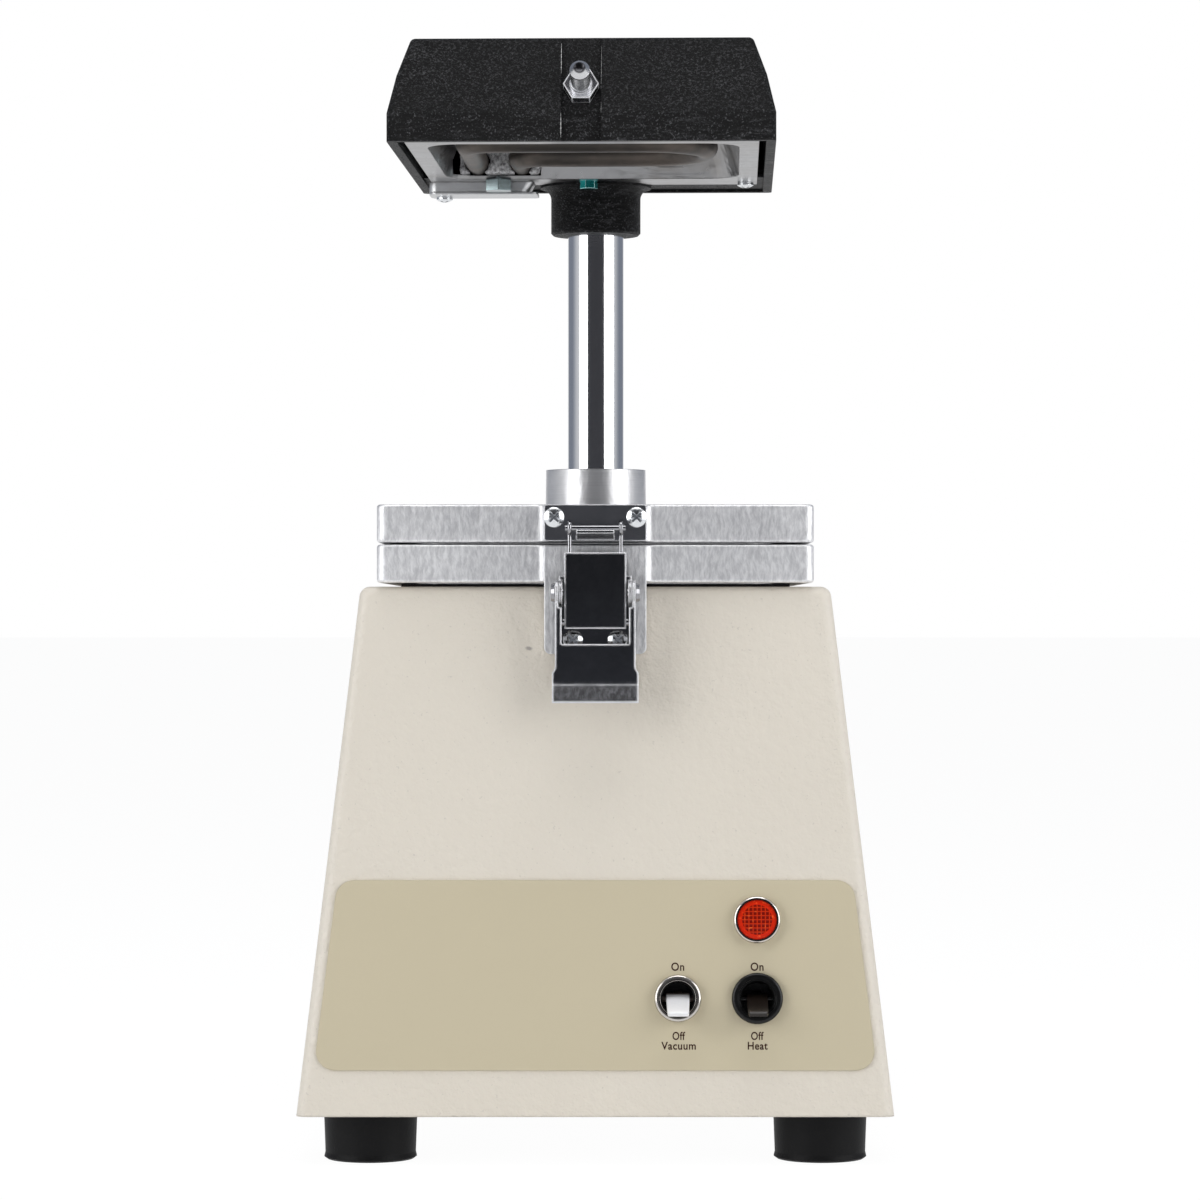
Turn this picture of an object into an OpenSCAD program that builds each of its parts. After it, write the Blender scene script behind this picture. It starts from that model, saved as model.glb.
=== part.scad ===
// Dental vacuum former: a heater on a post above a clamping frame and a vacuum base.
// Millimetres. The object faces -Y, stands on Z = 0, and its base is centred on X = 0, Y = 0.

/* [Base housing] */
// Width of the housing along its bottom edge
base_w = 189; // [182:1:200]
// Depth of the housing along its bottom edge
base_d = 220; // [214:1:230]
// Height of the housing without its feet
base_h = 167.4; // [160:0.2:190]
// Width of the housing at its flat top
top_w = 151.3; // [148:0.1:160]
// Depth of the housing at its flat top
top_d = 182; // [180:1:190]
// Thickness of the housing's walls
wall = 3; // [2.5:0.1:3.5]
// Radius of the upright corners and of the top's edge
edge_r = 3.5; // [2.5:0.1:5]
// Height of the rubber feet
foot_h = 15.6; // [12:0.1:20]
// Diameter of a rubber foot where it meets the housing
foot_d = 30; // [24:0.5:34]
// Distance between the left and right feet, centre to centre
foot_span_x = 144; // [130:1:150]
// Distance between the front and rear feet, centre to centre
foot_span_y = 175; // [160:1:180]
// Thickness of the bottom plate
bottom_t = 2; // [1.5:0.1:3]

/* [Control panel] */
// Height of the control panel's overlay along the sloping front
panel_h = 60; // [56:1:64]
// Width of the overlay at its bottom
panel_w = 176.3; // [172:0.1:178]
// Width of the overlay at its top
panel_top_w = 164.9; // [160:0.1:166]
// Distance from the front's bottom edge up to the overlay
panel_lift = 14.6; // [13:0.1:18]
// Thickness of the overlay
panel_t = 0.5; // [0.3:0.1:1]
// Diameter of the lamp's bezel and of the vacuum switch's bezel
bezel_d = 15; // [13.6:0.1:17]
// Diameter of the mounting holes behind the bezels
bush_d = 12; // [11:0.1:12.4]
// How far the paddles tilt away from straight out, in degrees
paddle_tilt = 26.5; // [15:0.5:27]
// Length of a switch paddle from its pivot
paddle_l = 14.5; // [12:0.1:17]

/* [Clamping frames] */
// Outer side of the square frames
frame_w = 139.7; // [137:0.1:146]
// Side of the square window in the frames
window_w = 114; // [108:1:118]
// Thickness of each frame
frame_t = 12.2; // [11:0.1:14]
// Height of the lower frame above the housing's top when it rests
frame_lift = 1.2; // [1:0.1:2]
// Slot between the two closed frames
frame_slot = 0.6; // [0.4:0.1:1]
// How far the front face of the frames stands out beyond the housing's top edge
frame_front = 3; // [2:0.1:6]
// Width of the raised pads that carry the latch
pad_w = 32.5; // [31.5:0.1:36]
// How far the pads stand proud of the frames
pad_proud = 5; // [4:0.1:6]

/* [Post and carriage] */
// Outer diameter of the post
post_d = 20; // [18:0.5:20.5]
// Bore of the hollow post
post_bore = 12; // [8:0.5:14]
// Distance from the rear edge of the frames back to the post's axis
post_y = 25.3; // [24:0.1:26.5]
// Outer diameter of the carriage's boss
boss_d = 36; // [34:0.5:38]
// Height of the carriage's boss
boss_h = 41.7; // [36:0.1:44]
// How far the carriage slides up the post
travel = 83; // [70:1:84]

/* [Heater head] */
// Height of the head's lower edge above the table
head_z = 327.2; // [327:0.1:345]
// Width of the head
head_w = 126.2; // [124:0.1:140]
// Length of the head from front to back
head_l = 168.5; // [166:0.5:175]
// Distance from the post's axis to the back of the head
head_back = 20; // [20:0.5:24]
// Height of the head
head_h = 34.3; // [33:0.1:40]
// Height of the upright skirt below the slopes
skirt_h = 9.2; // [8:0.1:11]
// How far each slope leans in up to the flat top
head_lean = 6.9; // [5:0.1:9]
// Thickness of the head's cast walls
hood_wall = 3.2; // [2.5:0.1:3.4]
// Length of the collar below the head
collar_l = 17.3; // [12:0.1:17.4]
// Outer diameter of the collar
collar_d = 32; // [30:0.5:34]
// How far the head is turned on the post as it stands
head_turn = -1.8; // [-5:0.1:5]
// Diameter of the heating element's tube
element_d = 8; // [6.5:0.1:8.4]
// Diameter of the handle stud
stud_d = 6.5; // [5:0.1:7]
// Free length of the handle stud beyond its nut
stud_free = 13.5; // [10:0.1:20]

/* [Vacuum motor] */
// Diameter of the fan housing
fan_d = 124; // [110:1:126]
// Height of the fan housing
fan_h = 46; // [40:1:48]
// Diameter of the motor can
can_d = 78; // [70:1:80]
// Height of the motor can
can_h = 84; // [78:1:86]

/* [Hidden] */
$fn = 64;
hull_fn = 32;
// Extra length by which a cut passes through what it cuts
over = 1;
// Radial gap of a running fit, and of a screw in its hole
fit_gap = 0.05;
// Gap between soft or sheet pieces and their moving neighbours
soft_gap = 0.3;

// Levels and centres
top_z = foot_h + base_h;
front_lean = atan((base_d - top_d) / 2 / base_h);
side_lean = atan((base_w - top_w) / 2 / base_h);
lower_z = top_z + frame_lift;
lower_top = lower_z + frame_t;
upper_z = lower_top + frame_slot;
upper_top = upper_z + frame_t;
front_y = top_d / 2 + frame_front;
frame_y = frame_w / 2 - front_y;
frame_back = frame_y + frame_w / 2;
axis_y = frame_back + post_y;
rail_w = (frame_w - window_w) / 2;
frame_corner = 3;
frame_edge = 1;
pad_front = front_y + pad_proud;
boss_top = lower_z + boss_h;
boss_bush_r = post_d / 2 + 2;
collar_z = head_z - collar_l;

// Housing's top: a rebate carries the perforated plate
plate_half = window_w / 2 - 2.2;
plate_t = 1.8;
plate_proud = 0.3;
plate_ledge = 7;
plate_z = top_z + plate_proud - plate_t;
plate_screw = plate_half - 3.3;
plate_screw_r = 1.5;
plate_pitch = 10.5;
plate_holes = 4;
plate_hole_d = 1.6;
gasket_in = window_w / 2 + 1;
gasket_w = 4.5;
gasket_t = frame_lift - soft_gap;

// Controls on the front, along X and up the slope
switch_up = 37.2;
lamp_up = 62;
vacuum_x = 26.1;
heat_x = 51.2;
bezel_t = 2.6;
heat_bezel_extra = 0.6;
control_spots = [[vacuum_x, switch_up], [heat_x, switch_up], [heat_x, lamp_up]];
switch_spots = [[vacuum_x, switch_up], [heat_x, switch_up]];
recess_r = 5;
mouth_z = panel_t + bezel_t - 0.5;
mouth_deep = 1.6;
mouth_flare = 0.6;
lens_r = bush_d / 2 + 0.4;
lens_seat = 0.6;
paddle_pivot = -3;
paddle_t = 1.7;
paddle_rise = 0.4;
trunnion_r = 1;
trunnion_bite = 0.8;

// Feet, their screws and the gussets that take them
foot_spots = [for (sx = [-1, 1], sy = [-1, 1]) [sx * foot_span_x / 2, sy * foot_span_y / 2]];
foot_taper = 0.5;
foot_screw_d = 4;
foot_seat = 8;
gusset_t = 3;
gusset_in_x = 11.5;
gusset_in_y = 17.5;

// Motor stack, hung below the plenum
plenum_h = 13;
plenum_half = plate_screw - plate_screw_r;
plenum_neck = 26;
sheet = 2;
motor_gasket_t = 3;
fan_top = top_z - wall - plenum_h - motor_gasket_t;
fan_z = fan_top - fan_h;
can_z = fan_z - can_h;
shaft_r = 4;
bearing_r = 9;
bearing_t = 6;
clamp_t = 4;
stud_spot = plate_screw + 4;
clamp_half = stud_spot + 5.5;
clamp_gap = 0.5;
motor_stud_d = 5;
nut_t = 4;

// Post and what holds it
flange_t = 8;
flange_w = 52;
flange_d = 30;
post_low = top_z - wall - flange_t - 22;
washer_t = 1;
post_top = head_z + 12;
step_z = post_top + washer_t + 0.1;
boss_in_top = step_z + 5;
step_r = 7;

// Lid hinge behind the frames
hinge_y = frame_back + 4.3;
hinge_z = upper_z + frame_t / 2;
hinge_r = 2.5;
knuckle_r = 6.1;
web_half = 15;
web_sink = 4;
lug_w = 10.4;
side_gap = 0.6;

// Latch on the pads: distances in front of the pads' faces, and heights
strike_t = 1;
strike_h = 11.6;
strike_top = upper_top - 0.2;
strike_z = strike_top - strike_h;
strike_screw_x = 13.1;
strike_screw_z = strike_top - 4.1;
tongue_half = 6;
tongue_tilt = 16;
tongue_t = 1.1;
tongue_out = 7.2;
pivot_out = 5;
pivot_drop = 28.3;
pivot_z = upper_top - pivot_drop;
link_out = 3.8;
link_drop = 9.3;
link_z = pivot_z - link_drop;
hook_out = 4.6;
hook_rise = 29.8;
hook_z = link_z + hook_rise;
cross_r = 0.95;
wire_r = 0.65;
wire_x = 8.15;
ear_in = 10.4;
ear_t = 1.2;
ear_r = 3.9;
arm_in = 11.75;
arm_t = 1;
arm_r = 4.1;
rivet_r = 1.3;
rivet_head_r = 3.2;
link_pin_r = 1.2;
link_half = 9.8;
lug_drop = 19.4;
lug_z = pivot_z - lug_drop;
latch_screw_x = 7.1;
latch_screw_drop = 14.8;
latch_screw_z = pivot_z - latch_screw_drop;
lever_face = 7;
lever_t = 1;
window_drop = 16.2;
wide_drop = 23.8;
face_drop = 29.2;
tab_drop = 34.8;

// Head: the reflector's rim lies just inside the hood's lower edge
rim_z = head_z + 0.2;
rim_t = 0.8;
floor_z = rim_z + rim_t;
floor_t = 3.2;
floor_y = axis_y - 24.5;
rim_half = head_w / 2 - 5.5;
rim_back = axis_y - 8;
pan_half = rim_half - 6.3;
pan_h = 20;
pan_front = axis_y + head_back - head_l + 11.5;
pan_back = floor_y - 2.8;
pan_lean = 7;
shoulder_r = collar_d / 2 + 3.9;
shoulder_gap = 0.5;
head_front = axis_y + head_back - head_l;
tube_z = rim_z + 5.6;
run_front = axis_y - 97;
run_back = axis_y - 53;
leg_left = -40.5;
leg_right = -25;
bend_x = 18;
leg_end = pan_back + 2;
leg_bend = 10;
pad_x0 = -46.6;
pad_x1 = -18.6;
pad_y0 = pan_back - 7;
pad_y1 = pan_back + 2.3;
stud_rise = 17.3;
stud_lean = atan(head_lean / (head_h - skirt_h));
channel_w = 13;
channel_deep = 1;
flank_swell = 0.5;
stud_nut_t = 4;
cover_x0 = -58.5;
cover_x1 = -20;
cover_y0 = floor_y + 4.5;
cover_y1 = cover_y0 + 15;
cover_drop = 4.4;
cover_t = 0.8;

// Shared shapes
module at_spots(spots) {
    for (p = spots) translate([p[0], p[1], 0]) children();
}

// Puts a child on the sloping front: x stays, y runs up the slope, z points out
module on_front() {
    translate([0, -base_d / 2, foot_h]) rotate([90 - front_lean, 0, 0]) children();
}

// The same on the rear face
module on_rear() {
    rotate([0, 0, 180]) on_front() children();
}

// Turns the head on the post
module on_head() {
    translate([0, axis_y, 0]) rotate([0, 0, head_turn]) translate([0, -axis_y, 0]) children();
}

// Points a child straight out of the pads, x to the right and y up
module out_of_pad(x, z) {
    translate([x, -pad_front, z]) rotate([90, 0, 0]) children();
}

// A cylinder along X, centred on x = 0
module along_x(r, l) {
    rotate([0, 90, 0]) cylinder(r = r, h = l, center = true);
}

module rounded_square(half, r) {
    offset(r) square(2 * (half - r), center = true);
}

// Domed screw head with a cross recess, shank pointing down
module pan_screw(head_r, head_t, shank_r, shank_l) {
    difference() {
        union() {
            intersection() {
                cylinder(r = head_r, h = head_t);
                translate([0, 0, head_t - head_r * 1.7]) sphere(r = head_r * 1.7);
            }
            translate([0, 0, -shank_l]) cylinder(r = shank_r, h = shank_l + over / 2);
        }
        for (a = [45, 135]) rotate([0, 0, a])
            translate([-head_r * 0.62, -head_r * 0.13, head_t * 0.35])
                cube([head_r * 1.24, head_r * 0.26, head_t]);
    }
}

module hexagon_nut(across, t, hole_r) {
    difference() {
        cylinder(d = across / cos(30), h = t, $fn = 6);
        translate([0, 0, -over]) cylinder(r = hole_r, h = t + 2 * over);
    }
}

// Straight-sided block that narrows upward, as a hull of its two outlines
module tapered(w0, d0, w1, d1, h) {
    thin = 0.01;
    hull() {
        translate([-w0 / 2, -d0 / 2, 0]) cube([w0, d0, thin]);
        translate([-w1 / 2, -d1 / 2, h - thin]) cube([w1, d1, thin]);
    }
}

// Base
module housing_outer() {
    r = edge_r;
    hull() {
        for (sx = [-1, 1], sy = [-1, 1]) {
            translate([sx * (base_w / 2 - r), sy * (base_d / 2 - r), foot_h])
                cylinder(r = r, h = 0.01, $fn = hull_fn);
            translate([sx * (top_w / 2 - r), sy * (top_d / 2 - r), top_z - r])
                sphere(r = r, $fn = hull_fn);
        }
    }
}

module housing_inner(gap) {
    low = wall / cos(side_lean) + gap;
    drop = wall;
    shrink_x = drop * tan(side_lean);
    shrink_y = drop * tan(front_lean);
    translate([0, 0, foot_h])
        tapered(base_w - 2 * low, base_d - 2 * low, top_w + 2 * shrink_x - 2 * low,
            top_d + 2 * shrink_y - 2 * low, base_h - drop);
}

module foot_gussets() {
    intersection() {
        housing_inner(-0.2);
        for (sx = [0, 1], sy = [0, 1]) mirror([sx, 0, 0]) mirror([0, sy, 0])
            translate([foot_span_x / 2 - gusset_in_x, foot_span_y / 2 - gusset_in_y, foot_h + bottom_t])
                cube([base_w, base_d, gusset_t]);
    }
}

module base_housing() {
    slots = 7;
    slot_w = 4;
    slot_h = 26;
    color("#d9d1c2") difference() {
        union() {
            difference() {
                housing_outer();
                housing_inner(0);
            }
            foot_gussets();
        }
        translate([0, frame_y, plate_z]) linear_extrude(wall)
            rounded_square(plate_half + fit_gap * 4, 2);
        translate([0, frame_y, top_z - wall - over]) linear_extrude(wall + 2 * over)
            rounded_square(plate_half - plate_ledge, 2);
        for (sx = [-1, 1], sy = [-1, 1])
            translate([sx * plate_screw, frame_y + sy * plate_screw, top_z - wall - over])
                cylinder(r = plate_screw_r + fit_gap, h = wall + over);
        translate([0, axis_y, top_z - wall - over])
            cylinder(r = post_d / 2 + fit_gap, h = wall + 2 * over);
        at_spots(post_screw_spots()) translate([0, 0, top_z - wall - over])
            cylinder(r = 2 + fit_gap, h = over + 2.2);
        on_front() at_spots(control_spots) translate([0, 0, -2 * wall])
            cylinder(r = bush_d / 2 + fit_gap, h = 3 * wall);
        at_spots(foot_spots) translate([0, 0, foot_h])
            cylinder(r = foot_screw_d / 2 + fit_gap, h = bottom_t + gusset_t + over);
        on_rear() translate([gland_x, gland_up, -2 * wall])
            cylinder(r = gland_r + fit_gap, h = 3 * wall);
        on_rear() for (i = [0 : slots - 1])
            translate([(i - (slots - 1) / 2) * 2.2 * slot_w - slot_w / 2, base_h * 0.55, -2 * wall])
                cube([slot_w, slot_h, 3 * wall]);
    }
}

module bottom_plate() {
    color("#8d8f92") difference() {
        intersection() {
            housing_inner(0.3);
            translate([-base_w / 2, -base_d / 2, foot_h]) cube([base_w, base_d, bottom_t]);
        }
        at_spots(foot_spots) translate([0, 0, foot_h - over])
            cylinder(r = foot_screw_d / 2 + fit_gap, h = bottom_t + 2 * over);
    }
}

module rubber_feet() {
    r_top = foot_d / 2;
    r_low = r_top - foot_taper;
    lip = 0.35;
    color("#1c1c1e") at_spots(foot_spots) difference() {
        rotate_extrude() polygon([[0, 0], [r_low - 0.6, 0], [r_low + lip, 0.7], [r_low, 2.2],
            [r_top, foot_h], [0, foot_h]]);
        translate([0, 0, -over]) cylinder(r = 5.5, h = foot_seat + over);
        cylinder(r = foot_screw_d / 2 + fit_gap, h = foot_h + over);
    }
}

module foot_screws() {
    length = foot_h + bottom_t + gusset_t - foot_seat - 0.4;
    color("#b9bcc0") at_spots(foot_spots) translate([0, 0, foot_seat]) rotate([180, 0, 0])
        pan_screw(4.2, 2.6, foot_screw_d / 2, length);
}

module control_panel() {
    r = 6;
    w0 = panel_w / 2 - r;
    w1 = panel_top_w / 2 - r;
    color("#c0b79c") on_front() difference() {
        translate([0, panel_lift, 0]) linear_extrude(panel_t) offset(r)
            polygon([[-w0, r], [w0, r], [w1, panel_h - r], [-w1, panel_h - r]]);
        at_spots(control_spots) translate([0, 0, -over])
            cylinder(r = bush_d / 2 + fit_gap, h = panel_t + 2 * over);
    }
}

// Rounded ring that sits on the overlay
module bezel_ring(r_out, r_in, t) {
    round_r = 1.1;
    translate([0, 0, panel_t]) rotate_extrude() difference() {
        union() {
            translate([r_in, 0]) square([r_out - r_in, t - round_r]);
            translate([r_in, 0]) square([r_out - r_in - round_r, t]);
            translate([r_out - round_r, t - round_r]) circle(round_r);
        }
        translate([0, -over]) square([r_in, t + 2 * over]);
    }
}

module lamp_holder() {
    body_r = bush_d / 2;
    body_l = 26;
    cup_deep = 6;
    color("#c9ccd0") on_front() translate([heat_x, lamp_up, 0]) {
        difference() {
            union() {
                bezel_ring(bezel_d / 2, body_r - 1, bezel_t);
                translate([0, 0, -body_l]) cylinder(r = body_r, h = body_l + panel_t + over);
            }
            translate([0, 0, -cup_deep]) cylinder(r = body_r - 1.5, h = 2 * cup_deep);
            translate([0, 0, panel_t + lens_seat]) cylinder(r = lens_r + fit_gap, h = bezel_t + over);
        }
    }
}

// Domed lens pressed into the holder's seat
module lamp_lens() {
    dome = 22;
    rise = 2.8;
    color("#c8280f") on_front() translate([heat_x, lamp_up, panel_t + lens_seat]) {
        cylinder(r = lens_r, h = bezel_t - lens_seat - 0.4);
        intersection() {
            cylinder(r = lens_r - 0.4, h = rise);
            translate([0, 0, rise - dome]) sphere(r = dome);
        }
    }
}

module switch_bezel(x, r_out) {
    on_front() translate([x, switch_up, 0]) bezel_ring(r_out, bush_d / 2 + fit_gap, bezel_t);
}

module vacuum_bezel() {
    color("#c9ccd0") switch_bezel(vacuum_x, bezel_d / 2);
}

module heat_bezel() {
    color("#232325") switch_bezel(heat_x, bezel_d / 2 + heat_bezel_extra);
}

// Switch: a round bush with a dished mouth, a box behind and three terminals
module switch_bodies() {
    bush_r = bush_d / 2;
    box_w = 17;
    box_h = 19;
    box_l = 20;
    bush_l = 12;
    color("#1a1a1c") on_front() at_spots(switch_spots) difference() {
        union() {
            translate([0, 0, -bush_l]) cylinder(r = bush_r, h = bush_l + mouth_z);
            translate([-box_w / 2, -box_h / 2, -bush_l - box_l]) cube([box_w, box_h, box_l]);
            for (s = [-1, 0, 1]) translate([-3, s * 6 - 0.4, -bush_l - box_l - 8])
                cube([6, 0.8, 8.5]);
        }
        translate([0, 0, paddle_pivot - 6]) cylinder(r = recess_r, h = 20);
        translate([0, 0, mouth_z - mouth_deep])
            cylinder(r1 = recess_r, r2 = recess_r + 1.5 * mouth_flare, h = 1.5 * mouth_deep);
        translate([0, 0, paddle_pivot]) along_x(trunnion_r + fit_gap, 2 * bush_r - 1);
    }
}

module panel_nuts() {
    color("#b9bcc0") on_front() at_spots(control_spots)
        translate([0, 0, -wall - 2.6]) hexagon_nut(bush_d + 4.5, 2.5, bush_d / 2 + fit_gap);
}

// Flat paddle on a cross trunnion, tilted down
module paddle(x, w) {
    tail = 4;
    on_front() translate([x, switch_up, paddle_pivot]) rotate([paddle_tilt, 0, 0]) {
        translate([-w / 2, paddle_rise, 0]) cube([w, paddle_t, paddle_l]);
        translate([-1.5, -1, -tail]) cube([3, 2, tail + 1]);
        along_x(trunnion_r, 2 * recess_r + trunnion_bite);
    }
}

module vacuum_paddle() {
    color("#f2f2f2") paddle(vacuum_x, 7.6);
}

module heat_paddle() {
    color("#1a1412") paddle(heat_x, 6.8);
}

module vacuum_plate() {
    color("#b4b6b8") translate([0, frame_y, plate_z]) difference() {
        linear_extrude(plate_t) rounded_square(plate_half, 2);
        for (i = [-plate_holes : plate_holes], j = [-plate_holes : plate_holes])
            translate([i * plate_pitch, j * plate_pitch, -over])
                cylinder(d = plate_hole_d, h = plate_t + 2 * over, $fn = 16);
        for (sx = [-1, 1], sy = [-1, 1]) translate([sx * plate_screw, sy * plate_screw, 0]) {
            translate([0, 0, -over]) cylinder(r = plate_screw_r + fit_gap, h = plate_t + 2 * over);
            translate([0, 0, plate_t - 1.2]) cylinder(r1 = 1.6, r2 = 2.8 + fit_gap, h = 1.2);
            translate([0, 0, plate_t - 0.001]) cylinder(r = 2.8 + fit_gap, h = over);
        }
    }
}

module plate_screws() {
    color("#a8abae") translate([0, frame_y, plate_z]) for (sx = [-1, 1], sy = [-1, 1])
        translate([sx * plate_screw, sy * plate_screw, 0]) difference() {
            union() {
                translate([0, 0, -wall]) cylinder(r = plate_screw_r, h = wall + plate_t - 1);
                translate([0, 0, plate_t - 1.1]) cylinder(r1 = plate_screw_r, r2 = 2.6, h = 1);
            }
            translate([-2, -0.3, plate_t - 0.6]) cube([4, 0.6, 1]);
        }
}

module base_gasket() {
    color("#2a2a2b") translate([0, frame_y, top_z]) linear_extrude(gasket_t) difference() {
        rounded_square(gasket_in + gasket_w, 4);
        rounded_square(gasket_in, 2);
    }
}

// Funnel from the perforated plate to the fan's inlet
module plenum() {
    thin = 0.01;
    color("#9b9da0") translate([0, frame_y, top_z - wall - plenum_h]) difference() {
        hull() {
            cylinder(r = plenum_neck, h = 3, $fn = hull_fn);
            translate([-plenum_half, -plenum_half, plenum_h - 2])
                cube([2 * plenum_half, 2 * plenum_half, 2]);
        }
        hull() {
            translate([0, 0, -over]) cylinder(r = plenum_neck - sheet, h = 3, $fn = hull_fn);
            translate([-plenum_half + sheet, -plenum_half + sheet, plenum_h])
                cube([2 * (plenum_half - sheet), 2 * (plenum_half - sheet), over]);
        }
    }
}

module motor_gasket() {
    color("#2a2a2b") translate([0, frame_y, fan_top]) difference() {
        cylinder(r = plenum_neck + 6, h = motor_gasket_t);
        translate([0, 0, -over]) cylinder(r = plenum_neck - 5, h = motor_gasket_t + 2 * over);
    }
}

module fan_housing() {
    outlet_r = 9;
    color("#a9acaf") translate([0, frame_y, fan_z]) difference() {
        cylinder(d = fan_d, h = fan_h);
        translate([0, 0, sheet]) cylinder(d = fan_d - 2 * sheet, h = fan_h - 2 * sheet);
        translate([0, 0, fan_h - sheet - over]) cylinder(r = plenum_neck - 5, h = sheet + 2 * over);
        translate([0, 0, -over]) cylinder(r = bearing_r + 2, h = sheet + 2 * over);
        translate([0, fan_d / 2 - 3 * sheet, fan_h / 2]) rotate([-90, 0, 0])
            cylinder(r = outlet_r, h = 6 * sheet);
    }
}

module motor_can() {
    color("#6e7276") translate([0, frame_y, can_z]) difference() {
        cylinder(d = can_d, h = can_h);
        translate([0, 0, bearing_t]) cylinder(d = can_d - 2 * sheet, h = can_h - 2 * bearing_t);
        translate([0, 0, -over]) cylinder(r = bearing_r + fit_gap, h = can_h + 2 * over);
        for (a = [0 : 60 : 300]) rotate([0, 0, a])
            translate([can_d / 2 - 2 * sheet, -6, can_h * 0.62]) cube([4 * sheet, 12, 14]);
    }
}

module shaft_bearings() {
    color("#c8cacc") translate([0, frame_y, can_z]) for (z = [0, can_h - bearing_t])
        translate([0, 0, z]) difference() {
            cylinder(r = bearing_r, h = bearing_t);
            translate([0, 0, -over]) cylinder(r = shaft_r + fit_gap, h = bearing_t + 2 * over);
        }
}

module motor_clamp() {
    color("#8d8f92") translate([0, frame_y, fan_z - clamp_t]) difference() {
        linear_extrude(clamp_t) rounded_square(clamp_half, 6);
        translate([0, 0, -over]) cylinder(r = can_d / 2 + clamp_gap, h = clamp_t + 2 * over);
        for (sx = [-1, 1], sy = [-1, 1]) translate([sx * stud_spot, sy * stud_spot, -over])
            cylinder(r = motor_stud_d / 2 + fit_gap, h = clamp_t + 2 * over);
    }
}

// Four studs from the housing's top, each with a nut under the clamp
module motor_studs() {
    low = fan_z - clamp_t - nut_t - 2;
    color("#b9bcc0") translate([0, frame_y, 0]) for (sx = [-1, 1], sy = [-1, 1])
        translate([sx * stud_spot, sy * stud_spot, low]) {
            cylinder(d = motor_stud_d, h = top_z - wall - low);
            translate([0, 0, 2]) cylinder(d = 9.2, h = nut_t, $fn = 6);
        }
}

module fan_wheel() {
    wheel_r = fan_d / 2 - 2 * sheet;
    low = fan_z + sheet + 4;
    blades = 9;
    blade_h = fan_h - 2 * sheet - 10;
    color("#c3c5c8") translate([0, frame_y, low]) {
        difference() {
            union() {
                cylinder(r = wheel_r, h = sheet);
                cylinder(r = 12, h = 14);
            }
            translate([0, 0, -over]) cylinder(r = shaft_r + fit_gap, h = 20);
        }
        for (i = [0 : blades - 1]) rotate([0, 0, i * 360 / blades])
            translate([20, 0, sheet / 2]) rotate([0, 0, 35]) cube([wheel_r - 25, 1.5, blade_h]);
    }
}

module motor_shaft() {
    core_r = 27;
    core_low = 8;
    core_high = 14;
    shaft_end = 0.5;
    shaft_top = 18.5;
    color("#7d7468") translate([0, frame_y, 0]) {
        translate([0, 0, can_z + shaft_end])
            cylinder(r = shaft_r, h = can_h + sheet + shaft_top - shaft_end);
        translate([0, 0, can_z + bearing_t + core_low])
            cylinder(r = core_r, h = can_h - 2 * bearing_t - core_low - core_high);
    }
}

block_x = base_w / 2 - 36.5;
block_y = 30;
block_w = 20;
block_d = 46;
block_h = 13;

module terminal_block() {
    ways = 5;
    color("#e6e2d6") translate([block_x, block_y, foot_h + bottom_t]) difference() {
        translate([-block_w / 2, -block_d / 2, 0]) cube([block_w, block_d, block_h]);
        for (i = [0 : ways - 1]) translate([0, (i - (ways - 1) / 2) * 9, block_h - 6])
            cylinder(r = 2.4, h = 7);
    }
}

// A lead through the listed points
module lead(points, r) {
    for (i = [0 : len(points) - 2]) hull() {
        translate(points[i]) sphere(r = r, $fn = 10);
        translate(points[i + 1]) sphere(r = r, $fn = 10);
    }
}

// Where a point up the front slope and behind it lies in the row frame
function behind_front(x, up, back) = [x, -base_d / 2 + up * sin(front_lean) + back * cos(front_lean),
    foot_h + up * cos(front_lean) - back * sin(front_lean)];

module wiring() {
    lead_r = 1.2;
    block_top = foot_h + bottom_t + block_h + 8;
    gland_in = [-gland_x, base_d / 2 - 16, foot_h + gland_up + 1.3];
    color("#b8462f") {
        for (i = [0, 1]) {
            spot = switch_spots[i];
            tip = behind_front(spot[0], spot[1], 41.2);
            drop_z = 24 + 5 * i;
            way_y = block_y - 18 + 9 * i;
            lead([tip, [tip[0] + 2, tip[1] + 5, tip[2] - 12], [tip[0] + 8 - 4 * i, tip[1] + 14, drop_z + 12],
                [block_x, way_y - 24, drop_z + 16], [block_x, way_y, block_top],
                [block_x, way_y, block_top - 12]], lead_r);
        }
        lamp_tip = behind_front(heat_x, lamp_up, 27.2);
        lead([lamp_tip, lamp_tip + [6, 8, 0], [72, -60, 60], [70, 20, 50], [block_x, block_y, block_top],
            [block_x, block_y, block_top - 12]], lead_r);
        lead([gland_in, [gland_x * -1, 84, 40], [-40, 72, 36], [20, 62, 36],
            [block_x, block_y + 18, block_top + 4], [block_x, block_y + 18, block_top - 12]], 1.8);
        lead([[0, axis_y, boss_in_top - 2], [0, axis_y, post_low - 20], [20, 64, 100],
            [block_x, block_y + 9, block_top + 10], [block_x, block_y + 9, block_top - 12]], 1.8);
    }
}

gland_x = 55;
gland_up = 27;
gland_r = 6.2;
gland_rim = 3;
gland_out = 9.45;
cord_r = 3.75;

module cord_gland() {
    color("#202022") on_rear() translate([gland_x, gland_up, 0]) difference() {
        union() {
            cylinder(r = gland_r + 3, h = gland_rim - 1);
            translate([0, 0, gland_rim - 1]) cylinder(r1 = gland_r + 3, r2 = gland_r + 1.5, h = 1);
            translate([0, 0, gland_rim - 1])
                cylinder(r1 = gland_r, r2 = gland_r - 0.9, h = gland_out + 1 - gland_rim);
            translate([0, 0, -wall - 8]) cylinder(r = gland_r, h = wall + 9);
        }
        translate([0, 0, -20]) cylinder(r = cord_r, h = 40);
    }
}

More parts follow.
